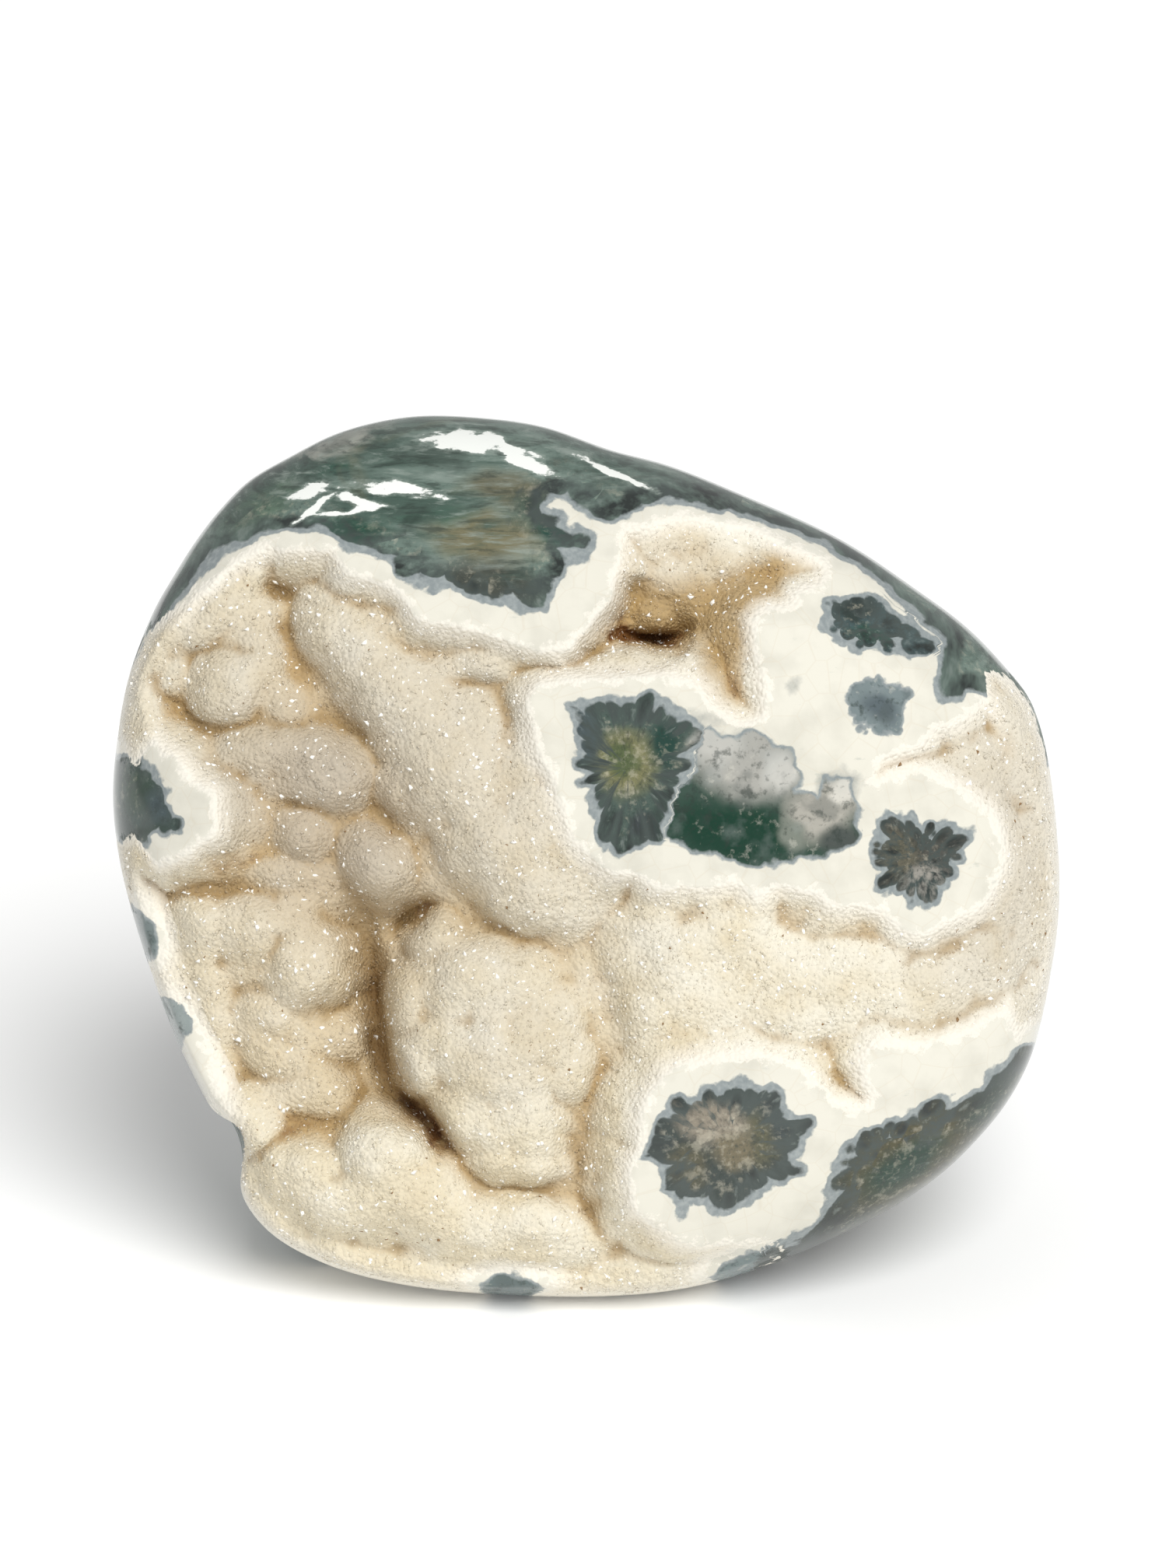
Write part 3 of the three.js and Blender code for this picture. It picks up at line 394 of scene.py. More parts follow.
def oval_distance(u, v, oval):
    """How far [u, v] is from the middle of an oval, where 1 is on the oval."""
    middle_u, middle_v, half_length, half_width, turn = oval[:5]
    c, s = math.cos(math.radians(turn)), math.sin(math.radians(turn))
    along = ((u - middle_u) * c + (v - middle_v) * s) / half_length
    across = ((v - middle_v) * c - (u - middle_u) * s) / half_width
    return np.hypot(along, across)


def inside_distance(u, v, border):
    """How far inside a closed border the points are, and negative outside it."""
    nearest = np.full(u.shape, np.inf)
    inside = np.zeros(u.shape, bool)
    for (au, av), (bu, bv) in zip(border, border[1:] + border[:1]):
        length_squared = (bu - au) ** 2 + (bv - av) ** 2
        share = np.clip(((u - au) * (bu - au) + (v - av) * (bv - av)) / length_squared, 0, 1)
        nearest = np.minimum(nearest, np.hypot(u - au - (bu - au) * share, v - av - (bv - av) * share))
        if av != bv:
            crossing = (bu - au) * (v - av) / (bv - av) + au
            inside ^= ((av > v) != (bv > v)) & (u < crossing)
    return np.where(inside, nearest, -nearest)


BORDER_STEPS = 3
rough_curve = closed_curve(ROUGH_BORDER, BORDER_STEPS).tolist()
print("the border curve has", len(rough_curve), "points")

# %% [markdown]
# The depth of the rough ground below the polish comes from these lists. Real lumps aren't exact ovals, so u
# and v are first shifted a little by noise, and the shifted place is used for the border as well.

# %% Shift places and blend depths
# Noises that shift the ground: (amount, size), both in mm.
GROUND_SHIFTS = ((0.45, 5.5), (0.16, 1.7))
GROUND_SALT = 11


def shifted(u, v, shifts, salt):
    """Moves places on the face a little, so that lines and lumps come out uneven, as grown."""
    place = flat_points(u, v)
    moved = []
    for along in (u, v):
        step = 0
        for amount, size in shifts:
            step = step + amount * smooth_noise(place, size, salt)
            salt += 1
        moved.append(along + step)
    return moved


def blend_least(depths, fillet):
    """The lesser of several depths, with a fillet where they are nearly alike."""
    least = np.minimum.reduce(depths)
    return least - fillet * np.log(sum(np.exp((least - depth) / fillet) for depth in depths))


def left_share(u):
    """Grows from 0 on the right of the face to 1 on the left, where the ground is deeper and steeper."""
    return 1 / (1 + np.exp((u - GROUND_CHANGE_U) / GROUND_CHANGE_WIDTH))


print("share of the left at u = -20 and u = 20:", left_share(-20.0), left_share(20.0))

# %% Depth of the rough ground


def ground_depth(u, v):
    depth = GROUND_DEPTH + GROUND_LEFT_EXTRA * left_share(u)
    for hollow in HOLLOWS:
        strength = np.exp(-HOLLOW_FADE * oval_distance(u, v, hollow) ** 2)
        depth = np.maximum(depth, hollow[5] * strength + depth * (1 - strength))
    return depth


def lump_depth(u, v, lump):
    crest, height = lump[5:]
    q = oval_distance(u, v, lump)
    cap = 1 - np.sqrt(np.maximum(0, 1 - q * q))
    turn = math.sqrt(1 - LUMP_TURN**2)
    side = 1 - turn + (q - LUMP_TURN) * LUMP_TURN / turn
    return crest + height * np.where(q < LUMP_TURN, cap, side)


def mound(u, v, oval, fade):
    """An oval mound, whose sixth value is its height in the middle."""
    return oval[5] * np.maximum(0, 1 - oval_distance(u, v, oval) ** 2) ** fade


def face_depth(u, v):
    """How far the stone lies below the polish, and how far inside the rough border it is."""
    su, sv = shifted(u, v, GROUND_SHIFTS, GROUND_SALT)
    inside = inside_distance(su, sv, rough_curve)
    ground = blend_least([ground_depth(su, sv)] + [lump_depth(su, sv, lump) for lump in LUMPS], LUMP_FILLET)
    knobs = np.maximum.reduce([mound(su, sv, knob, KNOB_FADE) for knob in KNOBS])
    creases = sum(mound(su, sv, crease, CREASE_FADE) for crease in CREASES)
    rough = np.maximum(LEAST_DEPTH, ground - knobs + creases)
    steeper = mound(su, sv, STEEP_LIP, 1)
    lip = (LIP_SLOPE + LIP_SLOPE_LEFT_EXTRA * left_share(su) + steeper) * inside
    depth = np.maximum(0, blend_least([rough, lip], LIP_ROUND))
    return np.where(inside > 0, depth, 0), inside


one_place = [np.array([number]) for number in (-10.0, -20.0)]
print("depth and distance inside at u = -10, v = -20:", face_depth(*one_place))

# %% Map of the depth
MAP_STEP = 0.3
MAP_REACH_U, MAP_REACH_V = 56, 52
map_u = np.arange(-MAP_REACH_U, MAP_REACH_U, MAP_STEP)
map_v = np.arange(-MAP_REACH_V, MAP_REACH_V, MAP_STEP)
depth_map = face_depth(*np.meshgrid(map_u, map_v))[0]
print("deepest ground in mm:", depth_map.max())


def map_depth(u, v):
    """The depth read from the map, which is quick and good enough to spread the corners by."""
    x = np.clip((u - map_u[0]) / MAP_STEP, 0, len(map_u) - 1.001)
    y = np.clip((v - map_v[0]) / MAP_STEP, 0, len(map_v) - 1.001)
    i, j = x.astype(int), y.astype(int)
    fx, fy = x - i, y - j
    low = depth_map[j, i] * (1 - fx) + depth_map[j, i + 1] * fx
    high = depth_map[j + 1, i] * (1 - fx) + depth_map[j + 1, i + 1] * fx
    return low * (1 - fy) + high * fy


# %% [markdown]
# ## The body of the stone
# A cube is subdivided in edit mode, and its corners are moved onto the stone in code, because no operator
# knows the stone's rule. The cube gives an even grid of squares without poles. The corners lie closest on
# the rough face, where the detail is, and widest behind. On the face they are then drawn together where it
# is steep, so that the sides of the lumps are as fine as their crowns.

# %% Cube with an even grid
FIRST_CUTS = 24
SECOND_CUTS = 4


def read(items, field, width=1, kind=float):
    """One field of all the corners, edges or faces of a mesh, as an array."""
    values = np.empty(len(items) * width, dtype=kind)
    items.foreach_get(field, values)
    return values.reshape(-1, width) if width > 1 else values


bpy.ops.object.select_all(action="DESELECT")
bpy.ops.mesh.primitive_cube_add(size=2)
body = bpy.context.object
body.name = "stone_body"
bpy.ops.object.mode_set(mode="EDIT")
bpy.ops.mesh.select_all(action="SELECT")
bpy.ops.mesh.subdivide(number_cuts=FIRST_CUTS)
bpy.ops.mesh.subdivide(number_cuts=SECOND_CUTS)
bpy.ops.object.mode_set(mode="OBJECT")
count = len(body.data.vertices)
cube = read(body.data.vertices, "co", 3)
first_end, second_end = read(body.data.edges, "vertices", 2, np.int32).T
print(count, "corners and", len(body.data.polygons), "squares")

# %% Spread the corners over the pebble
EDGE_DENSITY = 0.35
BACK_DENSITY = 0.06
DENSITY_FADE = 4
PROFILE_STEPS = 720
MIDDLE_RADIUS = 50
direction = np.tan(cube * math.pi / 4)
direction /= np.linalg.norm(direction, axis=1)[:, None]
sweeps = np.linspace(0, math.pi, PROFILE_STEPS + 1)
ahead = sweeps < math.pi / 2
profile_across, profile_out = section_point(sweeps, np.where(ahead, FACE_EXPONENT, BACK_EXPONENT))
steps = np.hypot(
    np.diff(profile_across) * MIDDLE_RADIUS,
    np.diff(profile_out) * np.where(ahead[1:], FRONT_REACH, BACK_REACH),
)
front_density = EDGE_DENSITY + (1 - EDGE_DENSITY) * profile_out[1:] ** DENSITY_FADE
density = np.where(ahead[1:], front_density, BACK_DENSITY)
shares = np.concatenate(([0], np.cumsum(steps * density * (profile_across[1:] + profile_across[:-1]))))
shares /= shares[-1]
sweep = np.interp((1 - direction[:, 2]) / 2, shares, sweeps)
front = sweep < math.pi / 2
across = section_point(sweep, np.where(front, FACE_EXPONENT, BACK_EXPONENT))[0]
plan_turn = np.arctan2(direction[:, 1], direction[:, 0])
plan = np.stack((across * np.cos(plan_turn), across * np.sin(plan_turn)), axis=-1)
print(int(front.sum()), "corners lie in front of the outline")

# %% Draw the corners together where the face is steep
GATHER_STEPS = 16
GATHER_PULL = 0.6
GATHER_WITHIN = 0.96


def sum_at_ends(at_first, at_second):
    """Adds up one value per edge at its first end and another at its second end."""
    return np.bincount(first_end, at_first, count) + np.bincount(second_end, at_second, count)


def cut_back(w, depth):
    """Takes the depth off in front, and leaves at least a share of the stone's thickness there."""
    return w - np.where(front, np.minimum(depth, w * (1 - LEAST_SHARE)), 0)


for step in range(GATHER_STEPS):
    u, v, w = pebble_point(plan[:, 0], plan[:, 1], front)
    points = np.stack((u, v, cut_back(w, map_depth(u, v))), axis=-1)
    length = np.linalg.norm(points[first_end] - points[second_end], axis=1)
    total = sum_at_ends(length, length)
    movable = front & (np.hypot(plan[:, 0], plan[:, 1]) < GATHER_WITHIN)
    for k in (0, 1):
        pull = length * (plan[second_end, k] - plan[first_end, k])
        plan[:, k] += np.where(movable, GATHER_PULL * sum_at_ends(pull, -pull) / total, 0)
print("longest edge before the fine detail, in mm:", length.max())

# %% Place the corners
face_u, face_v, pebble_w = pebble_point(plan[:, 0], plan[:, 1], front)
full_depth, inside_rough = face_depth(face_u, face_v)
inside_rough = np.where(front, inside_rough, np.minimum(inside_rough, pebble_w))
placed = lean_back(face_u, face_v, cut_back(pebble_w, full_depth))
print("corners in the rough ground:", int((inside_rough > 0).sum()))

# %% Roughen the strip at the outline
# Below the top, the thin outermost strip beside the rough ground is rough as well, almost up to the outline.
# It starts and ends at these shares of the outline radius. In four places on the left and below it kept its
# polish: (u, v, half length, half width, turn in degrees).
STRIP_MM, STRIP_START, STRIP_RISE, STRIP_END = 3.2, 0.9, 0.04, 0.99
STRIP_TOP, STRIP_TOP_FADE = 0.6, 0.2
POLISHED_EDGES = [
    (-48.6, -8.6, 3.8, 2.4, -76), (-43.6, -21.8, 7.4, 2.4, -64), (-8.5, -46.8, 4.2, 1.8, 0),
    (16.5, -44.4, 4.6, 2, 22),
]
POLISHED_SLOPE_MM = 2
share_out = np.hypot(plan[:, 0], plan[:, 1])
turn_out = np.arctan2(plan[:, 1], plan[:, 0])
at_edge = np.clip((share_out - STRIP_START) / STRIP_RISE, 0, 1)
below_top = np.clip((STRIP_TOP - np.sin(turn_out)) / STRIP_TOP_FADE, 0, 1)
inside_strip = inside_rough + STRIP_MM * at_edge * below_top
inside_strip = np.minimum(inside_strip, (STRIP_END - share_out) * outline_radius(turn_out))
kept_polish = np.minimum.reduce([oval_distance(face_u, face_v, oval) for oval in POLISHED_EDGES])
off_polish = (kept_polish - 1) * POLISHED_SLOPE_MM
widened = np.maximum(inside_rough, np.minimum(inside_strip, off_polish))
inside_rough = np.where(front, widened, inside_rough)
in_strip = front & (share_out > STRIP_START)
inside_rough = np.where(in_strip, np.minimum(inside_rough, off_polish), inside_rough)
print("corners in the rough ground with the strip:", int((inside_rough > 0).sum()))

# %% Write the corners and turn the faces outwards


def write_corners(coordinates):
    body.data.vertices.foreach_set("co", (coordinates * MM).ravel())
    body.data.update()


write_corners(placed)
bpy.ops.object.mode_set(mode="EDIT")
bpy.ops.mesh.select_all(action="SELECT")
bpy.ops.mesh.normals_make_consistent(inside=False)
bpy.ops.object.mode_set(mode="OBJECT")
print("stone box in mm:", placed.min(0), placed.max(0))

# %% [markdown]
# ## Botryoidal detail
# Up close each lump is made of smaller ones, a few millimetres across, like a bunch of grapes. Round caps
# are raised along the normals of the rough ground, and nothing is raised on the polish. Then the underside
# is ground flat, and the stone is set where the CAD solid stands.

# %% Raise the small caps and grind the base
# Each layer of caps is (size, height, salt).
GRAPES = ((4.2, 0.42, 21), (1.8, 0.14, 31))
GRAPES_START_MM, GRAPES_RISE_MM, GRAPES_SINK_MM = 0.4, 1.4, 0.25
BASE_ROUND, BASE_SINK = 0.3, 0.02
growth = np.clip((inside_rough - GRAPES_START_MM) / GRAPES_RISE_MM, 0, 1)
raised = sum(height * round_caps(placed, size, salt) for size, height, salt in GRAPES)
placed = placed + read(body.data.vertices, "normal", 3) * (growth * (raised - GRAPES_SINK_MM))[:, None]
z = placed[:, 2]
placed[:, 2] = np.maximum(0, 0.5 * (z + np.sqrt(z * z + BASE_ROUND**2)) - BASE_SINK)
box_low, box_high = CAD_LOW / MM, CAD_HIGH / MM
stone_shift = ((box_low + box_high) / 2 - (placed.min(0) + placed.max(0)) / 2) * (1, 1, 0)
placed += stone_shift
fit = np.minimum(1, (box_high - box_low) / (placed.max(0) - placed.min(0)))
placed[:, :2] *= fit[:2]
placed[:, 2] = (placed[:, 2] - placed[:, 2].min()) * fit[2]
write_corners(placed)
bpy.ops.object.shade_smooth()
print("moved by", stone_shift, "fitted by", fit, "box in mm:", placed.min(0), placed.max(0))

# %% Measure the crevices
# A crevice is where the surface lies behind a smoothed copy of itself. Three copies give fine, middle and
# broad crevices, and each is made by smoothing the one before it for this many more rounds.
# The druze colour uses them to paint shade into the recesses.
SMOOTH_ROUNDS = {"crevice": 8, "gap": 32, "valley": 110}


def smoothed(values, rounds):
    """Moves every corner to the mean of its neighbours, again and again."""
    one_each = np.ones(len(first_end))
    neighbours = sum_at_ends(one_each, one_each)
    values = values.copy()
    for _ in range(rounds):
        for column in values.T:
            column[:] = sum_at_ends(column[second_end], column[first_end]) / neighbours
    return values


normals = read(body.data.vertices, "normal", 3)
smooth_copy = placed
below = {}
for name, rounds in SMOOTH_ROUNDS.items():
    smooth_copy = smoothed(smooth_copy, rounds)
    below[name] = np.sum((smooth_copy - placed) * normals, axis=1)
print("deepest crevices in mm:", {name: round(float(values.max()), 2) for name, values in below.items()})

# %% [markdown]
# ## Markings of the polished surface
# Where a lump was ground off, its inside shows. From the outside in that is white chalcedony, a thin
# blue-grey rim, dark green petals that grew inwards, and an olive or crystalline middle. Each dark mass is
# given by the outer edge of its blue-grey rim, as a closed line on the face. The signed distance to it is
# stored on the corners, and the material turns that distance into rims, so the rims stay crisp at any size.

# %% Outlines of the dark masses
# Each one has the middle that its petals grow from, and its outline, both as places on the face in mm.
DARK_MASSES = {
    "top": ((-12, 35), [
        (-50, 21), (-47.7, 22.7), (-43.8, 27.9), (-39.5, 32), (-34.8, 35.1), (-31.8, 35.7), (-29.4, 35.3),
        (-26.6, 33.2), (-23.8, 32.3), (-21.3, 31.5), (-19.9, 29.6), (-17.5, 28.9), (-14.2, 28.2),
        (-10.8, 27), (-8.9, 26), (-4.6, 26), (-3.6, 27.4), (-3.2, 29.8), (-2.2, 31.8), (0.2, 31.8),
        (1.4, 32.8), (0.9, 34.7), (-1.3, 35.6), (-2.7, 36.6), (-4.6, 37.8), (-3.8, 39.2), (-1.7, 37.8),
        (0.2, 36.3), (4, 36.5), (5.9, 37.8), (8.8, 38.3), (13.1, 37.8), (17.9, 36.3), (24.5, 33.7),
        (29.2, 31.3), (32.2, 29.1), (33.3, 27.3), (35.2, 25.9), (37, 24.8), (38.2, 23.3), (37.8, 21.1),
        (37.2, 19.6), (37.2, 18.1), (38.5, 16.6), (40.3, 16.9), (40.8, 17.7), (43.3, 17.3), (45.2, 15.5),
        (47.1, 12.5), (48.2, 9.5), (60, 8), (60, 70), (-70, 70), (-70, 21),
    ]),
    "middle_left": ((4.2, 9.6), [
        (-2.4, 16.2), (1.5, 17.7), (6.2, 17.5), (8.3, 17.5), (12.1, 14.8), (12.7, 13.3), (11.3, 9.9),
        (9.5, 6.5), (8, 2.1), (6.7, 0.9), (3.5, 0.4), (1.7, 0.9), (0.6, 2.8), (0, 5.1), (-0.3, 7.3),
        (-1.1, 8.6), (-1.5, 10.7), (-1.8, 12.5), (-1.7, 14.3),
    ]),
    "middle_right": ((17, 6), [
        (12.1, 13.9), (14.3, 12.8), (18, 13.1), (21.8, 11.6), (22.5, 9.9), (22.3, 7.7), (24.3, 6.2),
        (25.5, 8), (27, 8.9), (28.3, 8.4), (28.1, 6.9), (29.2, 4.3), (28.8, 2.4), (27, 0.9), (24.8, 0.3),
        (21.8, -0.5), (18, -0.9), (15.8, -0.3), (12.8, 0.3), (10.6, 1.2), (8.3, 2.4), (9.5, 6.5),
        (11.3, 9.9),
    ]),
    "upper_right": ((30, 25.5), [
        (24.3, 24.8), (25.1, 26.6), (26.3, 28.3), (27.8, 28.7), (29.9, 28.5), (32.2, 28.3), (32.9, 27),
        (34.8, 26.3), (36.3, 24.8), (38.2, 24), (37.8, 22.2), (36.3, 22), (34.8, 21.3), (33.3, 22.2),
        (31.4, 22), (29.9, 21.8), (27.8, 22.5), (25.8, 23.8),
    ]),
    "small_dot": ((31, 16.2), [
        (27.6, 16.6), (28.2, 18), (29.6, 18.5), (30.8, 19.2), (32.2, 18.9), (33.6, 18.4), (34.4, 17),
        (34.2, 15.4), (33.6, 14.2), (32.2, 13.5), (30.8, 13.2), (29.4, 13.9), (28.2, 14.9),
    ]),
    "right_orb": ((36, 0), [
        (30.3, 3.2), (31.1, 4.1), (32.2, 4.8), (34, 4.8), (35.5, 4.5), (36.7, 3.8), (38.2, 4.1), (40, 3.8),
        (41.5, 2.4), (41.1, 0.6), (40.8, -0.5), (40, -1.3), (39.3, -2.8), (38.2, -4.3), (37.4, -5.6),
        (35.9, -5.6), (34.4, -5), (32.9, -3.9), (31.4, -4.1), (30.5, -3.2), (30.9, -1.7), (30.3, 0.3),
        (30.5, 1.7),
    ]),
    "lower_orb": ((15.5, -31), [
        (5.6, -32.2), (6.8, -30.3), (7.5, -27.3), (9.3, -25.8), (11.2, -25.1), (13.1, -24.2), (14.7, -23.7),
        (16.6, -23.3), (18.2, -24), (19.5, -23.7), (20.8, -24.8), (21.5, -26.7), (23, -27.2), (24.4, -27.8),
        (23.9, -29.3), (24.1, -30.5), (23.2, -32.2), (23.2, -33.4), (22, -35), (21.4, -35.8), (19.5, -35.8),
        (18.2, -36.9), (16.9, -37.8), (15.7, -38.5), (14.1, -39.2), (12.8, -38.2), (11.2, -37.8),
        (9.9, -38.5), (8.9, -38.2), (8.7, -36.9), (7.5, -35.9), (7.8, -34.3), (7, -32.8),
    ]),
    "lower_right": ((34.5, -33), [
        (17, -43.5), (22, -41.5), (25.1, -38.8), (25.8, -36.9), (25.2, -35.3), (25.5, -34.3), (26.2, -32.8),
        (26.8, -31.8), (28.1, -30.5), (29, -29.9), (29.3, -28.9), (30.9, -28.6), (32.6, -28), (34.2, -27.3),
        (35.8, -27), (38, -25.8), (39.6, -26.1), (41.2, -25.1), (42.4, -24.8), (43.1, -23.5), (44.3, -22.6),
        (45.3, -21.4), (47.3, -20.7), (60, -20), (60, -60), (17, -60),
    ]),
    "left_window": ((-49, 6), [
        (-49.7, 11.6), (-48.9, 10.8), (-47.7, 10), (-46.1, 9), (-45.3, 7.4), (-45.4, 6.7), (-44.5, 5.7),
        (-44.3, 4.9), (-43.4, 3.9), (-43.8, 3), (-43.9, 2.1), (-45.8, 1.8), (-46.8, 2), (-47, 0.8),
        (-48.2, 1), (-49.6, 1.3), (-60, 1), (-60, 12),
    ]),
    "left_edge": ((-54, -9), [
        (-53, -5), (-48.6, -5.6), (-47.2, -7.6), (-47, -9.6), (-48.2, -11.4), (-55, -11),
    ]),
    "left_fleck": ((-47, -18), [
        (-48, -15.6), (-45.2, -15.9), (-43.6, -17.4), (-43.2, -19.4), (-44.4, -21), (-48, -20.6),
    ]),
    "bottom_edge": ((-8.5, -49), [
        (-12.8, -47), (-10.8, -46.2), (-8.6, -45.8), (-6.2, -46.1), (-4.4, -47), (-8, -50),
    ]),
    "bottom_right": ((17, -47), [
        (12.8, -46), (14.6, -44.4), (16.6, -43.3), (18.8, -42.6), (21, -43), (17, -49),
    ]),
}
print(len(DARK_MASSES), "dark masses")

# %% Tints inside the dark masses
# Each one is (u, v, half length, half width, turn in degrees, sRGB hex), a soft patch on the face.
CORE_TINTS = [
    (-11, 34.6, 8, 3.6, -5, "6d6950"), (-10.5, 29.5, 7.5, 3.4, -8, "3f433c"),
    (-3.4, 35.6, 3.2, 2.8, 0, "20443a"), (-27, 35.2, 7, 2.2, 4, "22493a"), (-28, 42.3, 4, 1, 8, "284c3e"),
    (-28, 45, 8, 2, 22, "93958b"), (-9, 40, 6, 2.6, -8, "605f4c"), (-5, 37.4, 4, 2, -20, "3f4d42"),
    (-20, 38, 9, 2.2, -8, "3c5a4c"), (-36, 38.5, 6, 2.5, 30, "586c5c"), (3.9, 9.9, 4.2, 4.4, 0, "737250"),
    (3.6, 10.2, 2.2, 2.4, 0, "505b3b"), (8.9, 12.1, 3.3, 3.4, 0, "1e3c34"), (6.2, 3.4, 2, 1.8, 0, "41474a"),
    (-0.6, 13.5, 2, 4, 8, "49565b"), (17, 10.4, 8, 5.4, -15, "a09f98"), (13.6, 12.4, 3.4, 2.8, 0, "b4b3ac"),
    (20.5, 9, 2.4, 3, 0, "b9b8b1"), (15.5, 2.6, 10, 4, -8, "0a3425"), (25.3, 5.6, 6, 4, 35, "a5a298"),
    (26.8, 2, 2.6, 1.7, 20, "454b47"), (21.6, 2.4, 1.8, 2.4, 30, "747a70"),
    (27.6, 7.4, 2.4, 1.6, 50, "c9c6bc"), (28.8, 26.8, 2.8, 2, 0, "2c3734"),
    (30.7, 23.7, 4, 1.3, -10, "26473b"), (34, 24, 3, 1.6, -20, "495a5b"),
    (31.4, 15.8, 2.6, 1.9, -8, "515c60"), (35.5, 2.5, 5, 2.4, 0, "41413b"), (33, 0, 3, 3.5, 0, "5b584a"),
    (36.5, -2.8, 3.4, 2.4, 0, "8e8b83"), (15.5, -27.5, 8, 3, 0, "3d4744"),
    (18.2, -30.2, 3.6, 4, 0, "53523d"), (10.8, -33.1, 3, 3, 0, "4e4c3a"),
    (13.1, -28.3, 5.5, 3.2, -20, "827a6b"), (15.7, -31.5, 2.8, 2.8, 0, "6a624c"),
    (20.5, -28, 2, 3.5, 20, "3b4443"), (35, -32.6, 10, 5.5, 35, "4c482f"),
    (34.6, -33.3, 6.5, 3, 35, "1f3a2d"), (45, -26, 7, 2.5, 40, "36443b"), (-49, 7.5, 2.5, 3, 0, "36493c"),
    (-46.3, 5.5, 1.8, 3, 0, "4a585b"), (-47.5, 2.6, 3, 1.2, 0, "283b30"),
]
# The top's tint is lighter than the stone's own green, partly as painted reflection of the white room on the
# polish curving back.
MASS_TINTS = {
    "top": "66776e", "middle_left": "46554e", "middle_right": "34493f", "upper_right": "455759",
    "small_dot": "6f7b7c", "right_orb": "4c4b45", "lower_orb": "343d39", "lower_right": "363c32",
    "left_window": "41504b", "left_edge": "6a7675", "left_fleck": "8a9391", "bottom_edge": "5c6a6a",
    "bottom_right": "6a7878",
}
# How much of the inside of a mass is streaked in place of petals.
STREAKED = {"top": 1, "lower_right": 0.15}
# How much of it is plain, without petals.
PLAIN = {
    "small_dot": 1, "middle_right": 0.95, "left_window": 0.5, "left_edge": 1, "left_fleck": 1,
    "bottom_edge": 1, "bottom_right": 1,
}
# How deep its edge is notched between two petals, in mm.
SCALLOPS = {"small_dot": 0.8, "middle_right": 0.7}
SCALLOP_MM = 1.3


def linear(colour):
    """Turns an sRGB hex colour into the linear values that nodes and attributes use."""
    shares = [int(colour[k:k + 2], 16) / 255 for k in (0, 2, 4)]
    return [share / 12.92 if share <= 0.04045 else ((share + 0.055) / 1.055) ** 2.4 for share in shares] + [1]


print(len(CORE_TINTS), "tints on", len(MASS_TINTS), "masses")

# %% Which mass each corner belongs to
PATCH_SOFTNESS = 0.5
DEEPEST_INSIDE = 6
FARTHEST_OUTSIDE = -9.0
# The streaks start this far inside a mass, and are full this much farther in.
STREAKS_START_MM, STREAKS_RISE_MM = 2, 3
# Noises that shift the markings: (amount, size), both in mm.
MARK_SHIFTS = ((0.4, 2.2), (0.3, 1.1))
MARK_SALT = 41
mark_u, mark_v = shifted(face_u, face_v, MARK_SHIFTS, MARK_SALT)
dark_mm = np.full(count, FARTHEST_OUTSIDE)
streaked = np.zeros(count)
plain = np.zeros(count)
scallop = np.full(count, SCALLOP_MM)
core_middle = np.zeros((count, 3))
tint = np.tile(linear(MASS_TINTS["top"]), (count, 1))
pole = pebble_w.max()
for name, ((middle_u, middle_v), outline) in DARK_MASSES.items():
    distance = inside_distance(mark_u, mark_v, outline)
    nearer = distance > dark_mm
    dark_mm = np.maximum(dark_mm, distance)
    core_middle[nearer] = (middle_u, middle_v, pole)
    tint[nearer] = linear(MASS_TINTS[name])
    risen = np.clip((distance[nearer] - STREAKS_START_MM) / STREAKS_RISE_MM, 0, 1)
    streaked[nearer] = STREAKED.get(name, 0) * risen
    plain[nearer] = PLAIN.get(name, 0)
    scallop[nearer] = SCALLOPS.get(name, SCALLOP_MM)
for patch in CORE_TINTS:
    strength = np.clip((1 - oval_distance(mark_u, mark_v, patch)) / PATCH_SOFTNESS, 0, 1)[:, None]
    tint = tint * (1 - strength) + np.array(linear(patch[5])) * strength
dark_mm = np.minimum(dark_mm, DEEPEST_INSIDE)
print("corners in dark masses:", int((dark_mm > 0).sum()))

# %% [markdown]
# The back and the sides aren't in the photograph. Such a stone has the same masses all round, so there the
# distance comes from noise in space: mostly dark, with white windows. The petals of the back grow from a
# few middles of balls that lie just under the surface.

# %% Markings behind the outline
# The hidden part starts at this w and is complete this much farther back.
HIDDEN_START_W, HIDDEN_RISE_MM = 5, 9
HIDDEN_FRINGE_MM = 9
HIDDEN_STREAKED = 0.8
# The distance there is a middle value plus noises of (amount, size, salt), between two limits.
HIDDEN_MIDDLE_MM = 2.6
HIDDEN_NOISES = ((6, 17, 51), (3, 7, 52))
HIDDEN_LIMITS = (-5, 6)
BALL_SPACING = 17
BALL_SALT = 61
LEAST_RADIUS = 0.05
behind = eased(np.clip((HIDDEN_START_W - pebble_w) / HIDDEN_RISE_MM, 0, 1))
hidden_mm = HIDDEN_MIDDLE_MM
for amount, size, salt in HIDDEN_NOISES:
    hidden_mm = hidden_mm + amount * smooth_noise(placed, size, salt)
dark_mm = dark_mm * (1 - behind) + np.clip(hidden_mm, *HIDDEN_LIMITS) * behind
streaked = np.maximum(streaked * (1 - behind), HIDDEN_STREAKED * behind)
cell = np.floor(placed / BALL_SPACING)
nearest = np.full(count, np.inf)
ball_middle = np.zeros((count, 3))
for step in np.ndindex(3, 3, 3):
    near_cell = cell + step - 1
    middle = (near_cell + mixed_point(near_cell, BALL_SALT)) * BALL_SPACING
    gap = np.linalg.norm(placed - middle, axis=1)
    closer = gap < nearest
    ball_middle[closer] = middle[closer]
    nearest[closer] = gap[closer]
own_place = np.stack((face_u, face_v, pebble_w), axis=-1)
away = np.where(behind[:, None] > 0.5, placed - ball_middle, own_place - core_middle)
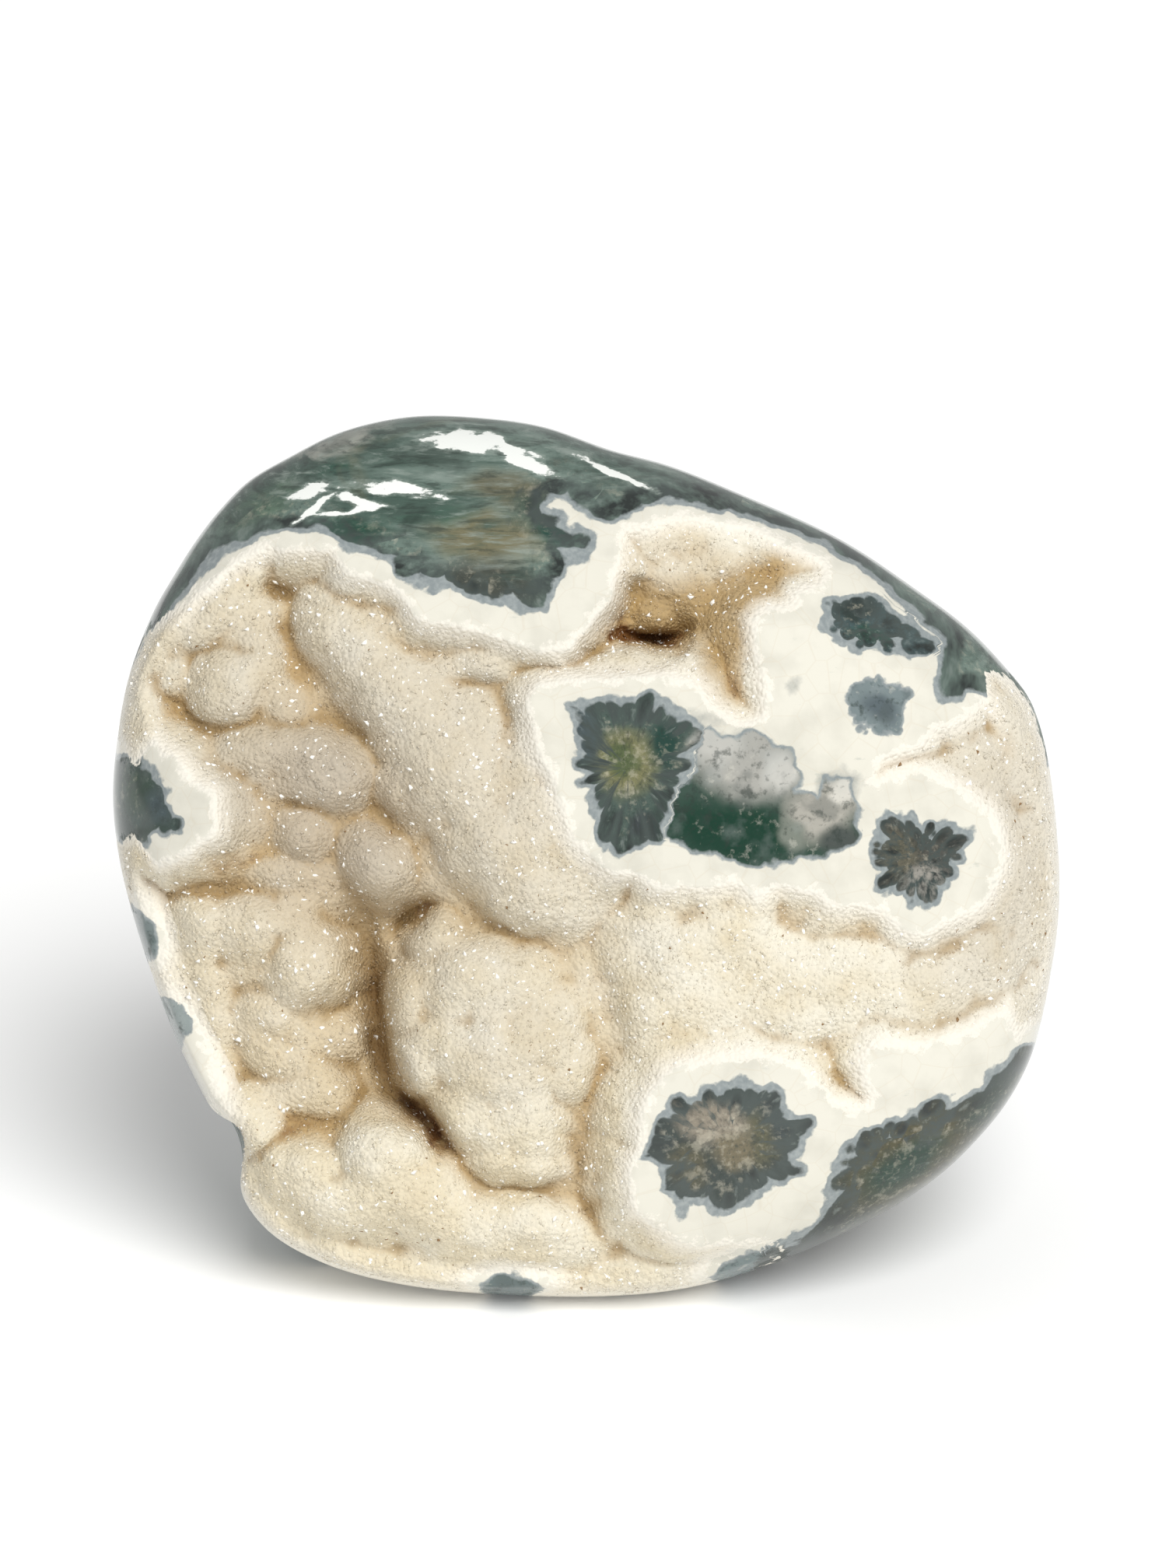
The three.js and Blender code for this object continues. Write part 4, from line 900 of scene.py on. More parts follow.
core_radius = np.linalg.norm(away, axis=1)
core_direction = away / np.maximum(core_radius, LEAST_RADIUS)[:, None]
print("farthest from the middle of a core in mm:", core_radius.max())

# %% Soft ovals of the markings
# White wisps in the top mass: (u, v, half length, half width, turn in degrees).
WISPS = [
    (-13.2, 45.3, 5, 1.7, -8), (-7.4, 43.4, 5.5, 0.9, -24), (-9.4, 45, 5, 0.6, -16), (3, 41.8, 5, 0.5, -24),
    (-30.4, 39.8, 3, 0.8, 14), (-20.4, 39.9, 5.4, 1, -6), (-29.7, 38.2, 3.4, 0.5, 33),
    (-25, 38.6, 3.4, 0.5, -18), (-26, 37.6, 4.6, 0.4, 2), (-38, 42, 4, 0.5, 38),
]
# Brown stains of iron in the rough face: (u, v, half length, half width, turn in degrees, strength).
STAINS = [
    (7, 23.5, 6.2, 1.6, -12, 1), (4.4, 24, 2.8, 1, -8, 1.8), (17.2, 28, 3.5, 1.2, 35, 0.8),
    (15.4, 18.6, 1.4, 3, 0, 0.6), (3.4, 27, 1, 3.4, 0, 0.6), (21.5, 31.4, 4, 1.8, 30, 0.5),
    (-40, -0.3, 6, 1.4, 5, 0.7), (-45, 15, 4, 2, 60, 0.3), (-43, 27, 4, 2, 45, 0.25),
    (25.5, -6.5, 9, 1.8, -8, 0.35), (-32, 21, 4, 2, -60, 0.3), (-20, -22, 9, 3.5, -80, 0.4),
    (-18, -30, 6, 4, -60, 0.75), (1.5, -29, 10, 2.2, -86, 0.3), (13, -38, 6, 3, 0, 0.2),
    (-33, -29.5, 7, 2, 0, 0.45), (-17, -6, 3, 2, 0, 0.6), (27, -22, 5, 2.5, 50, 0.25),
    (45, 12, 5, 3, 60, 0.3),
]
# Greyer druze, partly its own tone and partly painted shade: (u, v, half length, half width, turn in degrees,
# strength).
GREY_AND_SHADE_PATCHES = [
    (-28, 5, 17, 13, -50, 0.9), (-20, 8, 28, 28, 0, 0.42), (-38, 20, 12, 12, 0, 0.35),
    (44, 0, 10, 20, 0, 0.45), (-8, -19, 9, 8, 0, 0.3),
]
# Yellow-tan ground, most of it in the pocket: (u, v, half length, half width, turn in degrees, strength).
TANS = [
    (9, 26.5, 7.5, 4, 0, 0.95), (17, 28.8, 7.5, 3, 35, 0.8), (14.8, 22.4, 2.8, 5.5, -10, 0.8),
    (9, 32.6, 8, 3, -5, 0.3), (0, 23.4, 4.5, 1.8, 42, 0.5),
]
# Smoky grey quartz in the white: (u, v, half length, half width, turn in degrees, strength).
SMOKES = [
    (17, 9.6, 5.6, 4, -15, 0.9), (12.6, 14.6, 3, 1.6, -20, 0.5), (26.4, 7, 3.6, 2.2, 40, 0.8),
    (30.2, 8.4, 1.8, 1, 50, 0.4), (22, 18.4, 1.3, 1.6, 0, 0.6), (-6, 20.6, 4, 1.4, -15, 0.3),
]
print(len(WISPS), "wisps and", len(STAINS), "stains")

# %% Turn the ovals into values on the corners
PATCH_REACH = 1.4
# Stain gathers in the gaps, and this share of it lies on the crowns as well.
STAIN_ON_CROWNS = 0.3
# The druze is warmer to the left and below: its middle, and the mm to the right and up for a whole step.
WARM_MIDDLE, WARM_STEP_U, WARM_STEP_V = 0.5, 90, 160


def patches(ovals):
    """The strongest of several soft ovals. An oval without a strength has the strength 1."""
    total = np.zeros(count)
    for oval in ovals:
        strength = oval[5] if len(oval) > 5 else 1
        covered = np.clip(PATCH_REACH - oval_distance(mark_u, mark_v, oval), 0, 1)
        total = np.maximum(total, strength * covered)
    return total


stain = patches(STAINS) * (inside_rough > 0) * np.clip(STAIN_ON_CROWNS + below["gap"], 0, 1)
warm = np.clip(WARM_MIDDLE - face_u / WARM_STEP_U - face_v / WARM_STEP_V, 0, 1)
print("share of stained corners:", float((stain > 0.1).mean()))

# %% Store the attributes on the body
# Noise in the material adds up to this much to the distance from the edge of a dark mass, so half of it is
# taken off here, and the same is done with the coarser noise behind the outline.
FRINGE_MM = 0.9
# The notches between the petals make a mass smaller, so they are stored as negative.
SURFACE_VALUES = {
    "rough_mm": inside_rough,
    "dark_mm": dark_mm - FRINGE_MM / 2 - behind * HIDDEN_FRINGE_MM / 2,
    "behind_mm": behind * HIDDEN_FRINGE_MM,
    "core_mm": core_radius,
    "streaked": streaked,
    "plain": plain,
    "wisp": patches(WISPS) * (1 - behind),
    "stain": stain,
    "warm": warm,
    "grey": patches(GREY_AND_SHADE_PATCHES),
    "tan": patches(TANS),
    "smoke": patches(SMOKES),
    "scallop": -scallop,
    "deep": full_depth,
    **below,
}


def store(mesh, name, values, kind="FLOAT", field="value"):
    attribute = mesh.attributes.new(name, kind, "POINT")
    attribute.data.foreach_set(field, np.ascontiguousarray(values, dtype=np.float32).ravel())


for name, values in SURFACE_VALUES.items():
    store(body.data, name, values)
store(body.data, "core_direction", core_direction, "FLOAT_VECTOR", "vector")
store(body.data, "core_tint", tint, "FLOAT_COLOR", "color")
print("attributes:", [a.name for a in body.data.attributes if a.name[0] != "."])

# %% [markdown]
# ## Materials
# One helper adds a node, sets its settings, links or fills its inputs and gives back one of its outputs.
# Another lays colours over each other. Pattern sizes are given in millimetres: object coordinates are
# metres, so a noise whose features are 2 mm across has a scale of 500.

# %% Node helpers


def add(tree, kind, inputs=(), output=0, **settings):
    """Adds a node, applies its settings, links or fills its inputs and gives back one output."""
    node = tree.nodes.new(kind)
    for name, value in settings.items():
        setattr(node, name, value)
    for key, value in dict(inputs).items():
        if isinstance(value, bpy.types.NodeSocket):
            tree.links.new(value, node.inputs[key])
        else:
            node.inputs[key].default_value = value
    return node.outputs[output] if node.outputs else node


def paint(tree, colour, layers):
    """Lays colours over a first one.

    A layer is (colour, value, start, end, strength). It fades in while its value goes from start to end.
    """
    for over, value, start, end, strength in layers:
        share = add(tree, "ShaderNodeMapRange", {"Value": value, 1: start, 2: end, 4: strength})
        colour = add(tree, "ShaderNodeMix", {0: share, 6: colour, 7: over}, 2, data_type="RGBA")
    return colour


def per_mm(size):
    """The scale of a pattern whose features are `size` millimetres across."""
    return 1 / (size * MM)


print("a 2 mm pattern has the scale", per_mm(2))

# %% [markdown]
# ### Ocean jasper, ground and polished
# Ocean jasper is orbicular chalcedony, a very fine quartz. Polished with fine grit it has a soft glassy
# gloss, an IOR of 1.54 and colours that seem to lie a little below the surface. The rough ground between
# the islands is the same chalcedony, matt and cream, and grains of quartz cover it.

# %% Colours of the stone
WHITE_RIM = linear("d8d5c8")
WHITE_SHADE = linear("c6c3b6")
CRACK_BEIGE = linear("c9bda6")
BLUE_GREY = linear("828a8b")
BLUE_PALE = linear("a2a8a6")
PETAL_DARK = linear("262c2a")
PETAL_MIDDLE = linear("434c49")
SEAM_PALE = linear("838b86")
CRYSTAL_PALE = linear("c8c2ae")
MOSS_DARK = linear("27322c")
# Mass green and mass pale are lightened, partly as painted reflection on the polished top.
MASS_GREEN = linear("42554c")
MASS_PALE = linear("8f9a92")
MASS_TAN = linear("747058")
DRUZE_CREAM = linear("dfd9c8")
DRUZE_BEIGE = linear("d3c6a8")
DRUZE_GREY_AND_SHADE = linear("b2a796")
# Valley beige and crevice tan are partly the coat's own tint and partly painted shade in the recesses. Iron
# brown is a real stain and also painted shade in the deepest hollows.
VALLEY_BEIGE_AND_SHADE = linear("bca379")
CREVICE_TAN_AND_SHADE = linear("8f7346")
IRON_STAIN_AND_SHADE_BROWN = linear("6b431d")
OCHRE = linear("b99c6c")
POCKET_TAN = linear("aa8e5e")
SMOKE_GREY = linear("979993")
CRUST_WHITE = linear("eae5d9")
WISP_WHITE = linear("eceee9")
print("the white rim as linear values:", WHITE_RIM)

# %% Sizes of the stone's patterns
EDGE_NOISE_MM = 1.1
RIM_WIDTH_MM = 0.35
RIM_MIDDLE_MM = 0.6
PETAL_SCALLOP_MM = 1.2
PETAL_LENGTH_MM = 3.4
PETALS_SCALE, PETALS_CHANGE = 4.0, 0.03
RAYS_SCALE, RAYS_CHANGE = 9.0, 0.05
STREAK_SIZE_MM = (16, 8, 2.2)
QUARTZ_IOR = 1.54
POLISH_ROUGHNESS = 0.14
# The crust and the rough ground both begin along a ragged line. The first value is how far noise moves that
# line, in mm, and the pair is where the look changes, measured with the noise added.
CRUST_RAGGED_MM, CRUST_EDGE = 5.0, (1.9, 2.3)
ROUGH_RAGGED_MM, ROUGH_EDGE = 2.4, (1.25, 1.45)
CRUST_MATT_SHARE = 0.6
ROUGH_ROUGHNESS = 0.6
GRAIN_SIZE_MM, GRAIN_HEIGHT_MM = 0.5, 0.2
# How much the moss counts in the edges of wisps and smoke, and how much the wisp itself counts in its edge.
MOSS_SHARE, WISP_SHARE = 0.8, 0.7
print("one petal is up to", PETAL_LENGTH_MM, "mm long")

# %% Start the material of the stone
stone_material = bpy.data.materials.new("polished_ocean_jasper")
stone_material.use_nodes = True
tree = stone_material.node_tree
tree.nodes.clear()
place = add(tree, "ShaderNodeTexCoord", output="Object")
value = {name: add(tree, "ShaderNodeAttribute", (), "Fac", attribute_name=name) for name in SURFACE_VALUES}
core_tint = add(tree, "ShaderNodeAttribute", (), "Color", attribute_name="core_tint")
core_way = add(tree, "ShaderNodeAttribute", (), "Vector", attribute_name="core_direction")
print("attributes the material reads:", list(value))

# %% Noises of the stone
fringe = add(tree, "ShaderNodeTexNoise", {"Vector": place, "Scale": per_mm(EDGE_NOISE_MM), "Detail": 4.0})
hidden_fringe = add(tree, "ShaderNodeTexNoise", {"Vector": place, "Scale": per_mm(5.0), "Detail": 3.0})
clouds = add(tree, "ShaderNodeTexNoise", {"Vector": place, "Scale": per_mm(4.0), "Detail": 4.0})
crumbs = add(tree, "ShaderNodeTexNoise", {"Vector": place, "Scale": per_mm(0.6), "Detail": 3.0})
moss = add(tree, "ShaderNodeTexNoise", {
    "Vector": place, "Scale": per_mm(1.8), "Detail": 5.0, "Roughness": 0.65,
})
tone = add(tree, "ShaderNodeTexNoise", {
    "Vector": place, "Scale": per_mm(9.0), "Detail": 4.0, "Distortion": 0.8,
})
streak_scale = [per_mm(size) for size in STREAK_SIZE_MM]
streak_place = add(tree, "ShaderNodeVectorMath", {0: place, 1: streak_scale}, operation="MULTIPLY")
streaks = add(tree, "ShaderNodeTexNoise", {
    "Vector": streak_place, "Scale": 1.0, "Detail": 6.0, "Roughness": 0.6, "Distortion": 0.6,
})
fine_streaks = add(tree, "ShaderNodeTexNoise", {
    "Vector": streak_place, "Scale": 3.0, "Detail": 6.0, "Roughness": 0.65, "Distortion": 0.3,
})
cracks = add(tree, "ShaderNodeTexVoronoi", {
    "Vector": place, "Scale": per_mm(3.0),
}, feature="DISTANCE_TO_EDGE")
print("streaks are", STREAK_SIZE_MM[2], "mm wide")

# %% Rims and petals of the cores
# A petal is one cell of a pattern on the directions from the middle of its core, so it keeps its place from
# the rim inwards. The fourth coordinate changes slowly with the distance from the middle. The edge is notched
# between the petals, so it is scalloped, and the dark of the petals is scalloped once more inside the
# blue-grey rim.
petal_middle = add(tree, "ShaderNodeTexVoronoi", {
    "Vector": core_way, "Scale": PETALS_SCALE, "Randomness": 0.9,
    "W": add(tree, "ShaderNodeMath", {0: value["core_mm"], 1: PETALS_CHANGE}, operation="MULTIPLY"),
}, voronoi_dimensions="4D")
petal_luck = petal_middle.node.outputs["Color"]
petal_round = add(tree, "ShaderNodeMath", {0: petal_middle, 1: 2.0}, operation="POWER")
rays = add(tree, "ShaderNodeTexNoise", {
    "Vector": core_way, "Scale": RAYS_SCALE, "Detail": 3.0, "Roughness": 0.6,
    "W": add(tree, "ShaderNodeMath", {0: value["core_mm"], 1: RAYS_CHANGE}, operation="MULTIPLY"),
}, noise_dimensions="4D")
hidden_edge = add(tree, "ShaderNodeMath", {
    0: hidden_fringe, 1: value["behind_mm"], 2: value["dark_mm"],
}, operation="MULTIPLY_ADD")
uneven_edge = add(tree, "ShaderNodeMath", {0: fringe, 1: FRINGE_MM, 2: hidden_edge}, operation="MULTIPLY_ADD")
pushed_edge = add(tree, "ShaderNodeMath", {
    0: petal_round, 1: value["scallop"], 2: uneven_edge,
}, operation="MULTIPLY_ADD")
edge_mm = add(tree, "ShaderNodeMath", {0: pushed_edge, 1: RIM_MIDDLE_MM}, operation="ADD")
rim_inside = add(tree, "ShaderNodeMath", {0: edge_mm, 1: RIM_WIDTH_MM}, operation="SUBTRACT")
scalloped = add(tree, "ShaderNodeMath", {
    0: petal_round, 1: -PETAL_SCALLOP_MM, 2: rim_inside,
}, operation="MULTIPLY_ADD")
petal_mm = add(tree, "ShaderNodeMix", {0: value["plain"], 2: scalloped, 3: rim_inside})
past_petal = add(tree, "ShaderNodeMath", {
    0: petal_luck, 1: -PETAL_LENGTH_MM, 2: petal_mm,
}, operation="MULTIPLY_ADD")
petal_colour = paint(tree, PETAL_DARK, [
    (PETAL_MIDDLE, petal_middle, 0.3, 0.6, 0.9),
    (core_tint, rays, 0.42, 0.62, 0.6),
    (SEAM_PALE, rays, 0.6, 0.72, 0.45),
])
middle_colour = paint(tree, core_tint, [
    (PETAL_DARK, rays, 0.48, 0.32, 0.5),
    (CRYSTAL_PALE, moss, 0.46, 0.36, 0.28),
    (CRYSTAL_PALE, crumbs, 0.56, 0.7, 0.2),
    (MOSS_DARK, crumbs, 0.44, 0.3, 0.45),
    (MOSS_DARK, moss, 0.58, 0.66, 0.5),
])
print("the petals take", len(tree.nodes), "nodes so far")

# %% Colours inside the dark masses
mass_colour = paint(tree, MASS_GREEN, [
    (core_tint, streaks, 0.4, 0.55, 1.0),
    (MASS_PALE, streaks, 0.56, 0.68, 0.5),
    (MASS_TAN, tone, 0.58, 0.72, 0.35),
    (MOSS_DARK, tone, 0.48, 0.34, 0.55),
    (MOSS_DARK, fine_streaks, 0.48, 0.38, 0.6),
    (MASS_PALE, fine_streaks, 0.54, 0.66, 0.55),
])
plain_colour = paint(tree, core_tint, [
    (BLUE_PALE, clouds, 0.56, 0.7, 0.2),
    (PETAL_MIDDLE, clouds, 0.46, 0.36, 0.4),
    (WHITE_RIM, moss, 0.4, 0.32, 0.25),
    (MOSS_DARK, moss, 0.56, 0.66, 0.6),
    (MOSS_DARK, crumbs, 0.42, 0.3, 0.4),
])
inside_colour = paint(tree, petal_colour, [
    (middle_colour, past_petal, 0.2, 1.0, 1.0),
    (plain_colour, value["plain"], 0.0, 1.0, 1.0),
    (mass_colour, value["streaked"], 0.0, 1.0, 1.0),
])
rim_colour = paint(tree, BLUE_GREY, [(BLUE_PALE, crumbs, 0.4, 0.7, 0.6)])
print("with the insides there are", len(tree.nodes), "nodes")

# %% Colours of the whole polish
# Moss and fine streaks feather the wisps, and moss feathers the smoky quartz. Beside the rough ground the
# white is crusty in a ragged band, where the druze broke off as the stone was ground.
feathers = add(tree, "ShaderNodeMath", {0: moss, 1: MOSS_SHARE, 2: fine_streaks}, operation="MULTIPLY_ADD")
wisp_edge = add(tree, "ShaderNodeMath", {
    0: value["wisp"], 1: WISP_SHARE, 2: feathers,
}, operation="MULTIPLY_ADD")
smoke_edge = add(tree, "ShaderNodeMath", {
    0: moss, 1: MOSS_SHARE, 2: value["smoke"],
}, operation="MULTIPLY_ADD")
crust_edge = add(tree, "ShaderNodeMath", {
    0: moss, 1: CRUST_RAGGED_MM, 2: value["rough_mm"],
}, operation="MULTIPLY_ADD")
polished = paint(tree, WHITE_RIM, [
    (WHITE_SHADE, clouds, 0.45, 0.75, 0.8),
    (CRACK_BEIGE, cracks, 0.03, 0.0, 0.25),
    (SMOKE_GREY, smoke_edge, 0.7, 1.1, 0.8),
    (CRUST_WHITE, crust_edge, *CRUST_EDGE, 0.7),
    (rim_colour, edge_mm, 0.0, 0.22, 1.0),
    (inside_colour, petal_mm, -0.05, 0.25, 1.0),
    (MASS_PALE, wisp_edge, 1.1, 1.35, 0.6),
    (WISP_WHITE, wisp_edge, 1.3, 1.38, 0.95),
])
print("with the polish there are", len(tree.nodes), "nodes")

# %% Colour of the rough ground
DRUZE_VALUES = ("rough_mm", "stain", "warm", "grey", "tan", "deep", *SMOOTH_ROUNDS)
# How much the warm side counts in the beige clouds, and how much the clouds count in the tan ground.
WARM_SHARE, CLOUD_SHARE = 0.25, 0.5


def druze_colour(tree):
    """The coat's colour: cream on the crowns, beige and tan lower down and in crevices, partly tint and
    partly painted shade.
    """
    place = add(tree, "ShaderNodeTexCoord", output="Object")
    value = {name: add(tree, "ShaderNodeAttribute", (), "Fac", attribute_name=name) for name in DRUZE_VALUES}
    cloud = add(tree, "ShaderNodeTexNoise", {"Vector": place, "Scale": per_mm(6.0), "Detail": 3.0})
    warm_cloud = add(tree, "ShaderNodeMath", {
        0: value["warm"], 1: WARM_SHARE, 2: cloud,
    }, operation="MULTIPLY_ADD")
    tan_cloud = add(tree, "ShaderNodeMath", {
        0: cloud, 1: CLOUD_SHARE, 2: value["tan"],
    }, operation="MULTIPLY_ADD")
    spots = add(tree, "ShaderNodeTexNoise", {"Vector": place, "Scale": per_mm(1.4), "Detail": 4.0})
    spotted = add(tree, "ShaderNodeMath", {0: value["stain"], 1: spots}, operation="MULTIPLY")
    return paint(tree, DRUZE_CREAM, [
        (DRUZE_BEIGE, warm_cloud, 0.45, 0.8, 0.75),
        # Grey patches: partly the quartz's tone, partly painted shade.
        (DRUZE_GREY_AND_SHADE, value["grey"], 0.0, 1.0, 1.0),
        # Painted shade: the layers on depth below the polish and on valleys, gaps and crevices darken the
        # recesses, over the coat's real beige and tan.
        (VALLEY_BEIGE_AND_SHADE, value["deep"], 3.0, 12.0, 0.7),
        (VALLEY_BEIGE_AND_SHADE, value["valley"], 0.5, 3.5, 0.7),
        (VALLEY_BEIGE_AND_SHADE, value["gap"], 0.15, 1.2, 0.7),
        (CREVICE_TAN_AND_SHADE, value["deep"], 11.0, 17.0, 0.8),
        (CREVICE_TAN_AND_SHADE, value["crevice"], 0.06, 0.36, 0.7),
        (POCKET_TAN, tan_cloud, 0.3, 1.0, 0.9),
        (OCHRE, value["stain"], 0.04, 0.4, 0.6),
        # Painted shade in the deepest hollows.
        (IRON_STAIN_AND_SHADE_BROWN, value["deep"], 13.0, 18.0, 0.7),
        (IRON_STAIN_AND_SHADE_BROWN, spotted, 0.14, 0.42, 0.95),
        (CRUST_WHITE, value["rough_mm"], 2.0, 0.3, 0.85),
    ])


print("the rough ground reads", DRUZE_VALUES)

# %% Join the polish and the rough ground
ragged_rough = add(tree, "ShaderNodeMath", {
    0: fringe, 1: ROUGH_RAGGED_MM, 2: value["rough_mm"],
}, operation="MULTIPLY_ADD")
stone_colour = paint(tree, polished, [(druze_colour(tree), ragged_rough, *ROUGH_EDGE, 1.0)])
rough_share = add(tree, "ShaderNodeMapRange", {"Value": ragged_rough, 1: ROUGH_EDGE[0], 2: ROUGH_EDGE[1]})
crust_share = add(tree, "ShaderNodeMapRange", {
    "Value": crust_edge, 1: CRUST_EDGE[0], 2: CRUST_EDGE[1], 4: CRUST_MATT_SHARE,
})
matt_share = add(tree, "ShaderNodeMath", {0: rough_share, 1: crust_share}, operation="MAXIMUM")
roughness = add(tree, "ShaderNodeMapRange", {"Value": matt_share, 3: POLISH_ROUGHNESS, 4: ROUGH_ROUGHNESS})
grains = add(tree, "ShaderNodeTexVoronoi", {"Vector": place, "Scale": per_mm(GRAIN_SIZE_MM)})
bump = add(tree, "ShaderNodeBump", {
    "Strength": matt_share, "Distance": GRAIN_HEIGHT_MM * MM, "Height": grains,
}, invert=True)
stone_shader = add(tree, "ShaderNodeBsdfPrincipled", {
    "Base Color": stone_colour, "IOR": QUARTZ_IOR, "Normal": bump, "Roughness": roughness,
})
add(tree, "ShaderNodeOutputMaterial", {"Surface": stone_shader})
body.data.materials.clear()
body.data.materials.append(stone_material)
print("stone material has", len(tree.nodes), "nodes")

# %% [markdown]
# ## The druze
# Druze is a sugar of quartz tips, about half a millimetre each. One tip is modelled: a cone with three
# sides, whose base is poked down to a second, blunt point. Quartz tips in a druze show three larger faces,
# so three sides look right. It is then repeated over the rough ground. A particle system would leave live
# instances, so the copies are joined meshes that are written in one go.

# %% Model one quartz tip
# In shares of the tip's size. Below them is how far down the normal of the base points at least.
TIP_RADIUS, TIP_HEIGHT, TIP_POKE = 0.5, 0.34, 0.2
POINTS_DOWN = -0.9
bpy.ops.object.select_all(action="DESELECT")
bpy.ops.mesh.primitive_cone_add(vertices=3, radius1=TIP_RADIUS, radius2=0, depth=TIP_HEIGHT)
tip = bpy.context.object
bpy.ops.object.mode_set(mode="EDIT")
bpy.ops.mesh.select_all(action="DESELECT")
bpy.ops.object.mode_set(mode="OBJECT")
for polygon in tip.data.polygons:
    polygon.select = polygon.normal.z < POINTS_DOWN
bpy.ops.object.mode_set(mode="EDIT")
bpy.ops.mesh.poke(offset=TIP_POKE)
bpy.ops.mesh.select_all(action="SELECT")
bpy.ops.mesh.normals_make_consistent(inside=False)
bpy.ops.object.mode_set(mode="OBJECT")
tip_corners = np.array([vertex.co[:] for vertex in tip.data.vertices])
tip_faces = np.array([polygon.vertices[:] for polygon in tip.data.polygons])
bpy.data.objects.remove(tip)
print("one tip has", len(tip_corners), "corners and", len(tip_faces), "faces:", tip_corners.round(2).tolist())

# %% Choose the squares that carry tips
TIP_SEED = 7
TIPS_PER_PIECE = 32000
DRUZE_PIECES = 4
TIP_SIZE_MM = 0.42
TIP_SIZE_SPREAD = 0.28
TIP_TILT = 0.45
LARGEST_TIP_MM = 1.1
# Each tip is sunk by this much, and stays inside the CAD box by the second value.
TIP_SINK_MM, BOX_MARGIN_MM = 0.06, 0.02
KEEP_OFF_POLISH_MM = 0.45
# This share of the tips is painted white as a glint, and those are larger by this factor.
FLASH_SHARE = 0.035
FLASH_SIZE = 1.5
random = np.random.default_rng(TIP_SEED)
quads = read(body.data.polygons, "vertices", 4, np.int32)
quad_normals = read(body.data.polygons, "normal", 3)
quad_rough = inside_rough[quads].min(axis=1)
weight = read(body.data.polygons, "area") * (quad_rough > KEEP_OFF_POLISH_MM)
ground_area = weight.sum() / MM**2
print("rough ground in square mm:", ground_area)

# %% Scatter the tips and write them


def scatter(number):
    """The squares of the body that tips stand on, and the tips' places, turns and sizes."""
    chosen = random.choice(len(quads), number, p=weight / weight.sum())
    a, b = random.random((2, number, 1))
    corners = placed[quads[chosen]]
    shares = np.stack(((1 - a) * (1 - b), a * (1 - b), a * b, (1 - a) * b), axis=1)
    spot = np.sum(corners * shares, axis=1)
    axis = quad_normals[chosen] + TIP_TILT * random.normal(size=(number, 3))
    axis /= np.linalg.norm(axis, axis=1)[:, None]
    side = np.cross(axis, random.normal(size=(number, 3)))
    side /= np.linalg.norm(side, axis=1)[:, None]
    size = TIP_SIZE_MM * np.exp(TIP_SIZE_SPREAD * random.normal(size=number))
    return chosen, spot, axis, side, np.cross(axis, side), size


def write_druze(name, number):
    chosen, spot, axis, side, other, size = scatter(number)
    tip_luck = random.random(number)
    size = np.minimum(size * np.where(tip_luck < FLASH_SHARE, FLASH_SIZE, 1), LARGEST_TIP_MM)
    x, y, z = np.split(tip_corners[None] * size[:, None, None], 3, axis=-1)
    corners = spot[:, None] + x * side[:, None] + y * other[:, None] + (z - TIP_SINK_MM) * axis[:, None]
    above_low = corners > box_low + BOX_MARGIN_MM
    below_high = corners < box_high - BOX_MARGIN_MM
    inside_box = np.all(above_low & below_high, axis=(1, 2))
    corners, chosen, tip_luck = corners[inside_box], chosen[inside_box], tip_luck[inside_box]
    number = len(corners)
    faces = (tip_faces[None] + len(tip_corners) * np.arange(number)[:, None, None]).reshape(-1)
    mesh = bpy.data.meshes.new(name)
    mesh.vertices.add(number * len(tip_corners))
    mesh.vertices.foreach_set("co", (corners * MM).ravel())
    mesh.loops.add(len(faces))
    mesh.loops.foreach_set("vertex_index", faces)
    mesh.polygons.add(len(faces) // 3)
    mesh.polygons.foreach_set("loop_start", np.arange(0, len(faces), 3))
    mesh.update(calc_edges=True)
    mesh.validate()
    for key in DRUZE_VALUES:
        store(mesh, key, np.repeat(SURFACE_VALUES[key][quads[chosen, 0]], len(tip_corners)))
    store(mesh, "luck", np.repeat(tip_luck, len(tip_corners)))
    piece = bpy.data.objects.new(name, mesh)
    bpy.context.collection.objects.link(piece)
    return piece


druze = [write_druze(f"druze_{k + 1}", TIPS_PER_PIECE) for k in range(DRUZE_PIECES)]
print("tips per piece:", [len(piece.data.polygons) // len(tip_faces) for piece in druze])

# %% [markdown]
# ### Quartz druze, as grown
# The tips are clear to milky quartz over cream chalcedony. Their flat faces are glassy, so some of them
# flash white when they face a light, and a few are dark specks. A share of the tips is painted with the
# white of such a flash, as a painted glint.

# %% Material of the druze
FLASH_WHITE = linear("fffcf4")
SPECK_BROWN = linear("8a6c48")
SPECK_SHARE = 0.006
LUCK_STEP = 0.001
TIP_ROUGHNESS = 0.2
druze_material = bpy.data.materials.new("quartz_druze_as_grown")
druze_material.use_nodes = True
coat = druze_material.node_tree
coat.nodes.clear()
luck = add(coat, "ShaderNodeAttribute", (), "Fac", attribute_name="luck")
coat_colour = paint(coat, druze_colour(coat), [
    (CRUST_WHITE, luck, 0.0, 1.0, 0.1),
    (FLASH_WHITE, luck, FLASH_SHARE, FLASH_SHARE - LUCK_STEP, 1.0),
    (SPECK_BROWN, luck, 1 - SPECK_SHARE, 1 - SPECK_SHARE + LUCK_STEP, 1.0),
])
coat_shader = add(coat, "ShaderNodeBsdfPrincipled", {
    "Base Color": coat_colour, "IOR": QUARTZ_IOR, "Roughness": TIP_ROUGHNESS,
})
add(coat, "ShaderNodeOutputMaterial", {"Surface": coat_shader})
for piece in druze:
    piece.data.materials.append(druze_material)
print("druze material has", len(coat.nodes), "nodes")

# %% Hand the pieces to the frame
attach(body, "root")
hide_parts("stone")
for piece in druze:
    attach(piece, "root")
print("pieces ride on root")
